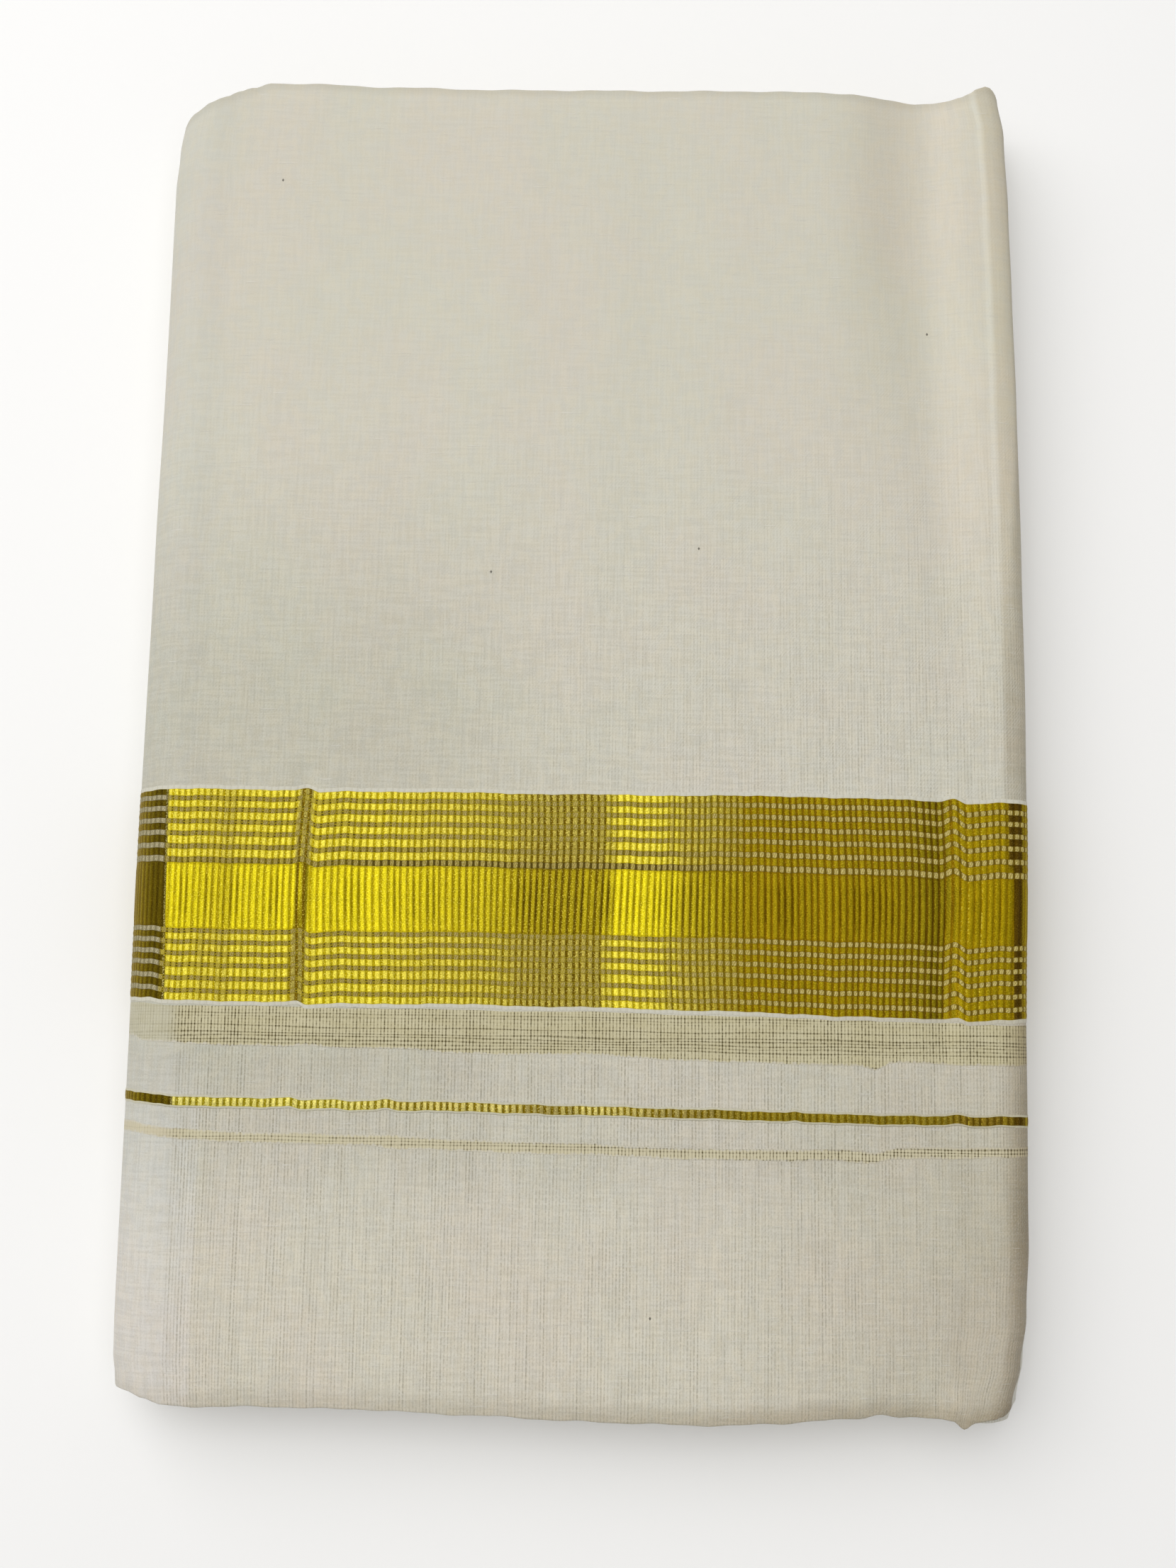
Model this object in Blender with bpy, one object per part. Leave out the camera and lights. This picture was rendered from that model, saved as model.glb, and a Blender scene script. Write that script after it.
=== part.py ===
"""A cotton dhoti, folded flat for the shelf, with a woven gold border.

The dhoti is one woven length. It is folded to a strip first, and the strip is then folded over and over,
so that a closed bundle of strips is left. Its outermost strip runs under the free flap at the right,
round the flap's end, over the front, round the tall spine at the left, along the flat underside, and up
round the lower fold at the right. The border, the gold line and the two openwork stripes are woven into
that strip and run all the way round with it.

Frame: X along the folded strip, Y up the front, Z the thickness; the underside lies on Z = 0 and the
origin is under the middle of the bundle. Sizes are in millimetres, and MM turns them into metres.
"""

import math

import bmesh
import bpy

MM = 0.001

# Bundle
WIDTH = 213.8          # over the spine and the lower right fold
THICKNESS = 25.5       # 72 plies
WALL = 2.0             # outermost strip
GAP = 0.3              # clearance between neighbouring pieces

# Folds that the outermost strip runs round
SPINE_RADIUS = THICKNESS / 2
LOWER_FOLD_RADIUS = 8.4
FLAP_UNDERSIDE = 17.2  # height of the flap's lower face
FLAP_RADIUS = (THICKNESS - FLAP_UNDERSIDE) / 2
TUCK = 9.0             # how far the strip's two ends run in between the flap and the lower fold
TUCK_WAVER = 0.5
TUCK_WAVE = 130.0

# Where the stretches of the strip begin, as X on the front or the underside
SPINE_X = SPINE_RADIUS - WIDTH / 2
LOWER_FOLD_X = WIDTH / 2 - LOWER_FOLD_RADIUS
FLAP_X = 101.5
STEADY_X = 80.0        # left of this, the uneven right side doesn't shift the cloth

# Woven bands
TRACK = 1.0            # depth of the seat that a band lies in
ZARI_RISE = 0.2        # metal thread stands this far above the cotton
UNDER_RISE = -0.1      # on the underside each band keeps this far above the table

# Hidden layers
LAYERS = 10
GROOVE = 1.3           # depth of the groove between two folded edges
DEEP_GROOVE = 2.6      # the same between the three main leaves
DISH = 2.4             # the hidden top of the inner folds is hollowed by this, clear of the trough
DISH_SCALE = 0.9
STACK_LOWER = -159.6   # the folded edges of a layer with no reach of its own
STACK_UPPER = 160.2
RIGHT_CORNER = 12.0
LEFT_CORNER = 12.0
CORNER_STEPS = 3
SIDE_ROWS = (-60.0, -8.0, 27.0, 60.0)
NOTCH_X = 88.0         # the layers stop here beside the tucked ends of the outermost strip
FLAP_TONGUE_X = 92.0   # they run on into the flap and into the lower fold, ending in a round tongue
LOWER_TONGUE_X = 96.2
FOLLOW_FROM = 19.6     # layers above this height follow the front's relief
FOLLOW_CLEAR = 0.7     # and keep this much more off it at their top

# Folded edges of the outermost strip. run: distance along the strip, 0 in the middle of the front and
# growing to the right; upper and lower: Y of the two folded edges there.
EDGES = (
    # run,    upper,  lower
    (-372.0, 160.6, -161.2),
    (-350.0, 161.0, -161.6),
    (-320.0, 161.6, -160.6),
    (-230.0, 160.9, -160.9),
    (-160.0, 158.2, -160.2),
    (-126.0, 153.4, -157.8),
    (-110.0, 152.8, -156.4),
    (-103.0, 154.4, -155.9),
    (-98.0, 156.0, -157.1),
    (-94.0, 157.1, -158.4),
    (-86.0, 159.8, -159.3),
    (-80.0, 161.1, -159.3),
    (-50.0, 160.7, -159.5),
    (-20.0, 160.4, -160.4),
    (10.0, 160.8, -161.5),
    (31.0, 161.0, -161.8),
    (56.0, 161.0, -160.5),
    (70.0, 160.3, -160.1),
    (84.0, 159.3, -160.3),
    (91.0, 159.2, -161.6),
    (97.0, 160.9, -160.7),
    (103.0, 161.9, -159.4),
    (108.0, 160.4, -157.6),
    (125.0, 158.4, -156.4),
)

# Left side: how far the strip stands in from a straight spine. It fades out from the spine to the front.
LEFT_SIDE = (
    # height, inwards
    (-160.0, 1.9),
    (-154.0, 1.2),
    (-149.0, 0.6),
    (-100.0, 0.45),
    (0.0, 0.6),
    (40.0, 0.8),
    (80.0, 1.15),
    (136.0, 1.15),
    (146.0, 1.8),
    (156.0, 3.0),
)
LEFT_SIDE_FROM = -76.0
LEFT_SIDE_FADE = 26.0
LEFT_SIDE_INNER = 1.15 # share of it that the hidden layers stand in by, clear of the spine

# Right side. height: Y; flap: X of the flap's outermost point; lift: how far its top stands over
# THICKNESS; lower: X of the lower fold's outermost point
RIGHT_SIDE = (
    # height, flap,  lift, lower
    (-161.0, 98.6, -1.8, 101.6),
    (-157.0, 100.0, -1.8, 103.4),
    (-148.0, 102.15, -1.7, 105.1),
    (-138.0, 103.6, -1.4, 106.3),
    (-120.0, 104.5, -0.8, 106.9),
    (-80.0, 105.05, -0.3, 106.9),
    (-20.0, 106.2, -0.1, 106.9),
    (10.0, 106.55, -0.1, 106.9),
    (40.0, 106.35, -0.1, 106.9),
    (80.0, 105.85, 0.1, 106.8),
    (110.0, 105.4, 0.2, 106.7),
    (130.0, 104.95, 0.5, 106.5),
    (150.0, 104.1, 0.8, 106.2),
    (161.0, 102.4, 1.3, 104.8),
)

# Soft trough that comes down from the upper edge near the flap, with a ridge to its right
TROUGH = (
    # height, centre, depth
    (-40.0, 92.0, 0.0),
    (-8.0, 91.0, 0.3),
    (27.0, 89.0, 1.0),
    (52.0, 87.0, 1.5),
    (92.0, 83.0, 1.9),
    (122.0, 79.5, 2.1),
    (160.0, 80.0, 2.1),
)
TROUGH_HALF_WIDTH = 8.5
RIDGE_OFFSET = 15.0
RIDGE_SHARE = 0.45     # the ridge's height as a share of the trough's depth
RIDGE_HALF_WIDTH = 6.0

# The lower right of the front sinks towards its corner
SAG = 2.2
SAG_FROM = (25.0, -55.0)
SAG_TO = (104.0, -160.0)

# The front rolls down a little towards both folded edges
EDGE_ROLL = 0.9
EDGE_ROLL_WIDTH = 9.0

# The flap's top sinks from here to its round end
SHOULDER = 1.35
SHOULDER_X = 95.5
SHOULDER_WIDTH = 9.0
SHOULDER_REACH = 15.0
SHOULDER_ROUND = 1.5   # the drop dies away round the end as this power of the rise

# The front is level where it meets the spine and the flap's end
SPINE_EASE = 16.0
FLAP_EASE = 12.0

# Woven bands. Each row gives Y of the band's upper and lower edge at the left and at the right end of
# the front; from the spine on, the left end's values hold all the way round.
BANDS = {
    # name:              (upper_left, upper_right, lower_left, lower_right)
    "zari_border": (-18.9, -18.9, -68.3, -70.1),
    "openwork_stripe_wide": (-70.2, -71.5, -78.1, -81.8),
    "zari_line": (-90.7, -92.7, -92.5, -94.4),
    "openwork_stripe_narrow": (-97.6, -100.3, -100.5, -103.0),
}

WAVER = 0.14           # the beaten-in bands aren't quite straight
WAVES = (91.0, 37.0)

# How far each hidden layer's folded edges stand beyond the front's, from the underside up
LAYER_REACH = (
    # lower, upper
    (0.3, 0.2),
    (-0.7, 0.9),
    (0.5, -0.4),
    (-0.3, 0.6),
    (0.9, -0.8),
    (-0.4, 0.4),
    (0.2, -0.2),
    (-0.9, 0.5),
    (0.1, -0.9),
    (-0.5, -0.3),
)

# Rows of the front's grid between the bands, as Y
UPPER_ROWS = (2.0, 26.0, 50.0, 74.0, 98.0, 122.0, 144.0)
LOWER_ROWS = (-148.0, -126.0)

# Columns of the grid, as X on the front
FRONT_COLUMNS = (99.0, 95.0, 90.0, 85.0, 80.0, 75.0, 70.0, 64.0, 56.0, 44.0, 28.0, 10.0, -10.0, -32.0,
                 -54.0, -72.0, -82.0, -89.0)
BACK_COLUMNS = (-60.0, 0.0, 60.0, STEADY_X, 90.0)
INNER_COLUMNS = (-72.0, -54.0, -32.0, -10.0, 10.0, 28.0, 44.0, 57.0, 68.0)
BORDER_ROWS = 4
SPINE_STEPS = 10
LOWER_FOLD_STEPS = 7
FLAP_STEPS = 6

COTTON = (0.61, 0.58, 0.49)
COTTON_SHADE = (0.52, 0.49, 0.41)
ZARI = (0.62, 0.47, 0.09)
OPENWORK = (0.44, 0.39, 0.27)


# --- Curves read from the tables -----------------------------------------------------------------

def smooth(value):
    """Ease from 0 to 1 with a level start and end."""
    value = min(max(value, 0.0), 1.0)
    return value * value * (3.0 - 2.0 * value)


def read(table, place, column):
    """Value of one column of a table at a place, eased between its rows."""
    if place <= table[0][0]:
        return table[0][column]
    for low, high in zip(table, table[1:]):
        if place <= high[0]:
            share = (place - low[0]) / (high[0] - low[0])
            return low[column] + (high[column] - low[column]) * smooth(share)
    return table[-1][column]


def bump(offset, half_width):
    """Soft bell, 1 in the middle."""
    return math.exp(-((offset / half_width) ** 2))


def flap_lift(y):
    return read(RIGHT_SIDE, y, 2)


def flap_radius(y):
    return (THICKNESS + flap_lift(y) - FLAP_UNDERSIDE) / 2


def flap_start(y):
    """X at which the front's flat stretch ends and the flap's round end begins."""
    return read(RIGHT_SIDE, y, 1) - flap_radius(y)


def lower_fold_start(y):
    """X at which the flat underside ends and the lower fold begins."""
    return read(RIGHT_SIDE, y, 3) - LOWER_FOLD_RADIUS


def stand_in(x, y):
    """How far a point near the spine stands to the right of a straight bundle's."""
    return read(LEFT_SIDE, y, 1) * smooth((LEFT_SIDE_FROM - x) / LEFT_SIDE_FADE)


def shoulder(x):
    """How far the flap's top sinks."""
    return SHOULDER * smooth((x - SHOULDER_X) / SHOULDER_REACH) * smooth((x - SHOULDER_X) / SHOULDER_WIDTH)


def relief(x, y):
    """Height of the front's outer face over THICKNESS."""
    depth = read(TROUGH, y, 2)
    offset = x - read(TROUGH, y, 1)
    height = -depth * bump(offset, TROUGH_HALF_WIDTH)
    height += depth * RIDGE_SHARE * bump(offset - RIDGE_OFFSET, RIDGE_HALF_WIDTH)
    across = smooth((x - SAG_FROM[0]) / (SAG_TO[0] - SAG_FROM[0]))
    down = smooth((y - SAG_FROM[1]) / (SAG_TO[1] - SAG_FROM[1]))
    height -= SAG * across * down
    to_edge = min(read(EDGES, x, 1) - y, y - read(EDGES, x, 2))
    height -= EDGE_ROLL * (1.0 - smooth(to_edge / EDGE_ROLL_WIDTH))
    at_spine = smooth((x - SPINE_X) / SPINE_EASE)
    at_flap = smooth((x - flap_start(y)) / FLAP_EASE + 1.0)
    return height * at_spine * (1.0 - at_flap) + flap_lift(y) * at_flap - shoulder(x)


# --- The outermost strip, rolled along its run ---------------------------------------------------

SPINE_RUN = math.pi * SPINE_RADIUS
LOWER_FOLD_RUN = math.pi * LOWER_FOLD_RADIUS
FLAP_RUN = math.pi * FLAP_RADIUS
BACK_START = SPINE_X - SPINE_RUN                       # run at which the underside begins
LOWER_FOLD_START = BACK_START - (LOWER_FOLD_X - SPINE_X)
STRIP_START = LOWER_FOLD_START - LOWER_FOLD_RUN - TUCK
STRIP_END = FLAP_X + FLAP_RUN + TUCK


def tuck_waver(y):
    """Unevenness of the strip's two tucked ends."""
    return TUCK_WAVER * math.sin(2 * math.pi * y / TUCK_WAVE)


def round_fold(centre_x, centre_z, radius, angle):
    return centre_x + radius * math.cos(angle), centre_z + radius * math.sin(angle)


def on_strip(run, y, depth):
    """Point of the strip at a run and a height, at a depth under its outer face."""
    flap_x = flap_start(y)
    lower_x = lower_fold_start(y)
    if run > FLAP_X + FLAP_RUN:
        share = (run - FLAP_X - FLAP_RUN) / TUCK
        x = flap_x + (FLAP_X - TUCK + tuck_waver(y) - flap_x) * share
        z = FLAP_UNDERSIDE + depth
    elif run > FLAP_X:
        angle = math.pi / 2 - math.pi * (run - FLAP_X) / FLAP_RUN
        radius = flap_radius(y)
        x, z = round_fold(flap_x, FLAP_UNDERSIDE + radius, radius - depth, angle)
        z -= shoulder(x) * max(math.sin(angle), 0.0) ** SHOULDER_ROUND
    elif run > SPINE_X:
        x = run + smooth((run - STEADY_X) / (FLAP_X - STEADY_X)) * (flap_x - FLAP_X)
        z = THICKNESS + relief(x, y) - depth
    elif run > BACK_START:
        angle = math.pi / 2 + math.pi * (SPINE_X - run) / SPINE_RUN
        x, z = round_fold(SPINE_X, SPINE_RADIUS, SPINE_RADIUS - depth, angle)
    elif run > LOWER_FOLD_START:
        x = SPINE_X + BACK_START - run
        x += smooth((x - STEADY_X) / (LOWER_FOLD_X - STEADY_X)) * (lower_x - LOWER_FOLD_X)
        z = depth
    elif run > LOWER_FOLD_START - LOWER_FOLD_RUN:
        angle = -math.pi / 2 + math.pi * (LOWER_FOLD_START - run) / LOWER_FOLD_RUN
        x, z = round_fold(lower_x, LOWER_FOLD_RADIUS, LOWER_FOLD_RADIUS - depth, angle)
    else:
        share = (LOWER_FOLD_START - LOWER_FOLD_RUN - run) / TUCK
        x = lower_x + (LOWER_FOLD_X - TUCK + tuck_waver(y) - lower_x) * share
        z = 2 * LOWER_FOLD_RADIUS - depth
    return (x + stand_in(x, y)) * MM, y * MM, z * MM


def strip_runs():
    """Runs of the grid's columns, from the end tucked over the lower fold to the one under the flap."""
    runs = [STRIP_START]
    top_of_fold = LOWER_FOLD_START - LOWER_FOLD_RUN
    runs += [top_of_fold + LOWER_FOLD_RUN * k / LOWER_FOLD_STEPS for k in range(LOWER_FOLD_STEPS + 1)]
    runs += [SPINE_X + BACK_START - x for x in reversed(BACK_COLUMNS)]
    runs += [BACK_START + SPINE_RUN * k / SPINE_STEPS for k in range(SPINE_STEPS + 1)]
    runs += sorted(FRONT_COLUMNS)
    runs += [FLAP_X + FLAP_RUN * k / FLAP_STEPS for k in range(FLAP_STEPS + 1)]
    return runs + [STRIP_END]


def band_line(left, right, run):
    """Y of a band's edge at a run: it drifts across the front and wavers a little."""
    share = (run - SPINE_X) / (FLAP_X - SPINE_X)
    waver = WAVER * (math.sin(2 * math.pi * run / WAVES[0]) + math.sin(2 * math.pi * run / WAVES[1]))
    return left + (right - left) * min(max(share, 0.0), 1.0) + waver


def strip_faces(run):
    """Outer and inner face of the strip at a run, each from the lower edge up, as (Y, depth)."""
    upper = read(EDGES, run, 1)
    lower = read(EDGES, run, 2)
    half = WALL / 2
    bevel = half * (1.0 - math.sqrt(0.5))
    outer = [(lower, half), (lower + bevel, bevel), (lower + half, 0.0)]
    outer += [(y, 0.0) for y in LOWER_ROWS]
    for upper_left, upper_right, lower_left, lower_right in reversed(BANDS.values()):
        bottom = band_line(lower_left, lower_right, run) - GAP
        top = band_line(upper_left, upper_right, run) + GAP
        outer += [(bottom, 0.0), (bottom, TRACK), (top, TRACK), (top, 0.0)]
    outer += [(y, 0.0) for y in UPPER_ROWS]
    outer += [(upper - half, 0.0), (upper - bevel, bevel), (upper, half)]
    inner = [(y, WALL) for y in sorted({y for y, depth in outer[2:-2]})]
    inner = [(lower + bevel, WALL - bevel)] + inner + [(upper - bevel, WALL - bevel)]
    return outer, inner


def strip_ring(run):
    outer, inner = strip_faces(run)
    return [on_strip(run, y, depth) for y, depth in outer + inner[::-1]]


def strip_rungs():
    """Pairs of places in a strip's ring that lie across the wall from each other."""
    outer, inner = strip_faces(0.0)
    heights = [y for y, depth in inner]
    last = len(outer) + len(inner) - 1
    across = [(k, last - heights.index(y)) for k, (y, depth) in enumerate(outer) if y in heights]
    tip = len(outer) - 1
    return [(0, 0)] + across + [(tip, tip)]


def band_rise(run, rise):
    """How far a band stands over the cloth: it sinks into its seat where the strip turns under."""
    over_spine = (run - BACK_START) / SPINE_RUN
    over_lower_fold = (LOWER_FOLD_START - run) / LOWER_FOLD_RUN
    clear = max(smooth((over_spine - 0.08) / 0.25), smooth((over_lower_fold - 0.08) / 0.25))
    tucked = smooth((run - FLAP_X - 0.7 * FLAP_RUN) / (0.3 * FLAP_RUN))
    tucked = max(tucked, smooth((over_lower_fold - 0.7) / 0.3))
    return UNDER_RISE + (rise - UNDER_RISE) * clear * (1.0 - tucked)


def band_ring(run, edges, rise, rows):
    """Closed section of a woven band at a run."""
    upper_left, upper_right, lower_left, lower_right = edges
    bottom = band_line(lower_left, lower_right, run)
    top = band_line(upper_left, upper_right, run)
    heights = [bottom + (top - bottom) * k / rows for k in range(rows + 1)]
    outer = [(y, -band_rise(run, rise)) for y in heights]
    inner = [(y, TRACK - GAP) for y in reversed(heights)]
    return [on_strip(run, y, depth) for y, depth in outer + inner]


# --- The hidden layers ---------------------------------------------------------------------------

INNER_BOTTOM = WALL + GAP
INNER_TOP = THICKNESS - WALL - GAP
LAYER = (INNER_TOP - INNER_BOTTOM) / LAYERS
LEAF = THICKNESS / 3


def inner_left(z):
    """X of the hidden layers' left side, inside the spine."""
    radius = SPINE_RADIUS - WALL - GAP
    return SPINE_X - math.sqrt(max(radius ** 2 - (z - SPINE_RADIUS) ** 2, 0.0))


def inner_right(z):
    """X of their right side: a tongue in the lower fold, a notch for the tucked ends, one in the flap."""
    lower_radius = LOWER_FOLD_RADIUS - WALL - GAP
    upper_middle = FLAP_UNDERSIDE + FLAP_RADIUS
    upper_radius = FLAP_RADIUS - WALL - GAP
    if abs(z - LOWER_FOLD_RADIUS) < lower_radius:
        return LOWER_TONGUE_X + math.sqrt(lower_radius ** 2 - (z - LOWER_FOLD_RADIUS) ** 2)
    if abs(z - upper_middle) < upper_radius:
        return FLAP_TONGUE_X + math.sqrt(upper_radius ** 2 - (z - upper_middle) ** 2)
    return NOTCH_X


def layer_reach(z, column):
    """How far the folded edges stand out at a height in the stack: rounded layers with grooves between."""
    place = (z - INNER_BOTTOM) / LAYER
    index = min(int(place), LAYERS - 1)
    across = abs(2.0 * (place - index) - 1.0)
    between_leaves = min(abs(z - LEAF), abs(z - 2 * LEAF)) < LAYER / 2
    groove = DEEP_GROOVE if between_leaves else GROOVE
    return LAYER_REACH[index][column] - groove * (1.0 - math.sqrt(max(1.0 - across ** 2, 0.0)))


def inner_height(z, x, y):
    """Z of a point of the stack: its upper layers follow the front's relief."""
    share = (z - FOLLOW_FROM) / (INNER_TOP - FOLLOW_FROM)
    return z + max(share, 0.0) * (relief(x, y) - FOLLOW_CLEAR)


def corner_arc(centre_x, centre_y, radius, quarter):
    """Points inside one rounded corner, without the two where its straight sides begin."""
    angles = [math.pi * (1.0 + (quarter + k / CORNER_STEPS) / 2) for k in range(1, CORNER_STEPS)]
    return [(centre_x + radius * math.cos(a), centre_y + radius * math.sin(a)) for a in angles]


def inner_ring(z):
    """Rounded outline of the hidden layers at a height in the stack, from the lower left corner round."""
    left, right = inner_left(z), inner_right(z)
    lower = STACK_LOWER - layer_reach(z, 0)
    upper = STACK_UPPER + layer_reach(z, 1)
    inner_left_x = left + LEFT_CORNER
    inner_right_x = right - RIGHT_CORNER
    columns = [inner_left_x, *INNER_COLUMNS, (INNER_COLUMNS[-1] + inner_right_x) / 2, inner_right_x]
    right_rows = (lower + RIGHT_CORNER, *SIDE_ROWS, upper - RIGHT_CORNER)
    left_rows = (upper - LEFT_CORNER, *reversed(SIDE_ROWS), lower + LEFT_CORNER)
    outline = [(x, lower) for x in columns]
    outline += corner_arc(inner_right_x, right_rows[0], RIGHT_CORNER, 1)
    outline += [(right, y) for y in right_rows]
    outline += corner_arc(inner_right_x, right_rows[-1], RIGHT_CORNER, 2)
    outline += [(x, upper) for x in reversed(columns)]
    outline += corner_arc(inner_left_x, left_rows[0], LEFT_CORNER, 3)
    outline += [(left, y) for y in left_rows]
    outline += corner_arc(inner_left_x, left_rows[-1], LEFT_CORNER, 4)
    return [((x + LEFT_SIDE_INNER * stand_in(x, y)) * MM, y * MM, inner_height(z, x, y) * MM)
            for x, y in outline]


def inner_rings():
    rings = []
    for layer in range(LAYERS):
        for share in (0.0, 0.12, 0.5, 0.88):
            rings.append(inner_ring(INNER_BOTTOM + (layer + share) * LAYER))
    rings.append(inner_ring(INNER_TOP))
    rings.append([(x * DISH_SCALE, y * DISH_SCALE, (INNER_TOP - DISH) * MM) for x, y, _ in rings[-1]])
    return rings


# --- Making the objects --------------------------------------------------------------------------

def finish(name, colour, roughness, metallic):
    material = bpy.data.materials.new(name)
    material.use_nodes = True
    shader = material.node_tree.nodes["Principled BSDF"]
    shader.inputs["Base Color"].default_value = (*colour, 1.0)
    shader.inputs["Roughness"].default_value = roughness
    shader.inputs["Metallic"].default_value = metallic
    return material


def loft(name, rings, rungs, material, collection):
    """Closed solid through equal rings of points. Rungs across a ring close its two ends in slices."""
    shape = bmesh.new()
    rows = [[shape.verts.new(point) for point in ring] for ring in rings]
    count = len(rows[0])
    for near, far in zip(rows, rows[1:]):
        for k in range(count):
            after = (k + 1) % count
            shape.faces.new((near[k], near[after], far[after], far[k]))
    for row in (rows[0], rows[-1]):
        for (a, b), (c, d) in zip(rungs, rungs[1:]):
            corners = [row[k] for k in dict.fromkeys((a, c, d, b))]
            shape.faces.new(corners)
    bmesh.ops.recalc_face_normals(shape, faces=shape.faces)
    mesh = bpy.data.meshes.new(name)
    shape.to_mesh(mesh)
    shape.free()
    mesh.materials.append(material)
    mesh.shade_smooth()
    mesh.set_sharp_from_angle(angle=math.radians(40.0))
    piece = bpy.data.objects.new(name, mesh)
    collection.objects.link(piece)
    return piece


def even_rungs(count):
    return [(k, count - 1 - k) for k in range(count // 2)]


def main():
    for old in list(bpy.data.objects):
        bpy.data.objects.remove(old, do_unlink=True)
    collection = bpy.data.collections.new("folded_dhoti")
    bpy.context.scene.collection.children.link(collection)
    cotton = finish("cotton", COTTON, 0.9, 0.0)
    shade = finish("cotton_folds", COTTON_SHADE, 0.95, 0.0)
    zari = finish("zari", ZARI, 0.4, 0.7)
    openwork = finish("openwork", OPENWORK, 0.95, 0.0)

    runs = strip_runs()
    loft("outer_cloth", [strip_ring(run) for run in runs], strip_rungs(), cotton, collection)
    rings = inner_rings()
    loft("inner_folds", rings, even_rungs(len(rings[0])), shade, collection)
    for name, edges in BANDS.items():
        gold = name.startswith("zari")
        rise = ZARI_RISE if gold else 0.0
        rows = BORDER_ROWS if name == "zari_border" else 1
        rings = [band_ring(run, edges, rise, rows) for run in runs]
        loft(name, rings, even_rungs(len(rings[0])), zari if gold else openwork, collection)


main()
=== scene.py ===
"""The dressed look of a cotton dhoti, folded flat for the shelf, with a woven gold border.

The dhoti is one woven length, folded to a strip and then folded over and over. Its outermost strip runs
under the free flap at the right, round the flap's end, over the front, round the tall spine at the left,
along the underside and up round the lower fold at the right. The woven bands run all the way round with
it, and the plies inside it show as folded edges at both ends of the bundle.

Sizes are in millimetres and MM turns them into metres. X runs along the strip, Y up the front, Z is the
thickness, and the underside lies on Z = 0.
"""

import logging
import math
from collections.abc import Sequence
from dataclasses import dataclass, field
from enum import Enum

import bpy
import numpy as np
from mathutils import Matrix, Vector


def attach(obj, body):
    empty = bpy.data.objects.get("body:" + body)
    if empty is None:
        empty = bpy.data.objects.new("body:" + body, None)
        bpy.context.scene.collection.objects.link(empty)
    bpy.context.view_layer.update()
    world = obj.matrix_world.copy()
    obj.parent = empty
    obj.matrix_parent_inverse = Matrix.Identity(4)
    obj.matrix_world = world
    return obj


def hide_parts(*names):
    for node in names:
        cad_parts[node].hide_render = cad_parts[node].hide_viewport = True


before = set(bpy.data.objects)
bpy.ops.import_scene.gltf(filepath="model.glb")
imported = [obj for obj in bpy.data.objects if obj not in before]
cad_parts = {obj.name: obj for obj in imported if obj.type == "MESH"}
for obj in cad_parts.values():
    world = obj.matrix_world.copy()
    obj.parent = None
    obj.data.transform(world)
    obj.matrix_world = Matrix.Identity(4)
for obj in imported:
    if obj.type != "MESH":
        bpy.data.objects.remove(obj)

LOG = logging.getLogger("dhoti")
MM = 0.001
TAU = 2 * math.pi
Array = np.ndarray
Colour = tuple[float, float, float]
Socket = bpy.types.NodeSocket
Operand = float | Socket


# --- Curves and small helpers --------------------------------------------------------------------

def smooth(value: Array | float) -> Array:
    """Ease from 0 to 1 with a level start and end."""
    value = np.clip(value, 0.0, 1.0)
    return value * value * (3.0 - 2.0 * value)


def bell(offset: Array, half_width: Array | float) -> Array:
    """Soft hump, 1 in the middle."""
    return np.exp(-((offset / half_width) ** 2))


def eased(table: Array, place: Array, column: int = 1) -> Array:
    """Value of one column of a table at some places, eased between its rows.

    Args:
        table: Rows of numbers, the first column rising.
        place: Where to read it.
        column: Which column to read.

    Returns:
        The values, one for each place.
    """
    low = np.clip(np.searchsorted(table[:, 0], place) - 1, 0, len(table) - 2)
    share = (place - table[low, 0]) / (table[low + 1, 0] - table[low, 0])
    return table[low, column] + (table[low + 1, column] - table[low, column]) * smooth(share)


def waves(along: Array, *terms: tuple[float, float, float]) -> Array:
    """Sum of sines, each given as its height, its length and its start.

    Args:
        along: Places along the line.
        terms: Height, wavelength and phase of each sine.

    Returns:
        The sum at each place.
    """
    return sum(height * np.sin(TAU * along / length + start) for height, length, start in terms)


# --- Creases -------------------------------------------------------------------------------------

@dataclass(frozen=True)
class Crease:
    """A soft line pressed into the cloth, or raised out of it.

    path holds points (run, Y) up the crease; rise is its height; before and after are its half widths on
    the side of lower and of higher run; fade is the length over which each end dies away.
    """

    path: tuple[tuple[float, float], ...]
    rise: float
    before: float
    after: float
    fade: float = 10.0

    def height(self, run: Array, y: Array) -> Array:
        """Height that the crease adds at some points of the cloth.

        Args:
            run: Distance along the strip.
            y: Height up the front.

        Returns:
            Heights over the plain cloth.
        """
        nearest = np.full(run.shape, np.inf)
        side = np.zeros(run.shape)
        along = np.zeros(run.shape)
        travelled = 0.0
        for (run_a, y_a), (run_b, y_b) in zip(self.path, self.path[1:]):
            across, up = run_b - run_a, y_b - y_a
            length = math.hypot(across, up)
            share = np.clip(((run - run_a) * across + (y - y_a) * up) / length**2, 0.0, 1.0)
            off_run = run - run_a - share * across
            off_y = y - y_a - share * up
            distance = np.hypot(off_run, off_y)
            closer = distance < nearest
            nearest = np.where(closer, distance, nearest)
            side = np.where(closer, across * off_y - up * off_run, side)
            along = np.where(closer, travelled + share * length, along)
            travelled += length
        width = np.where(side > 0, self.before, self.after)
        ends = smooth(along / self.fade) * smooth((travelled - along) / self.fade)
        return self.rise * bell(nearest, width) * ends


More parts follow.
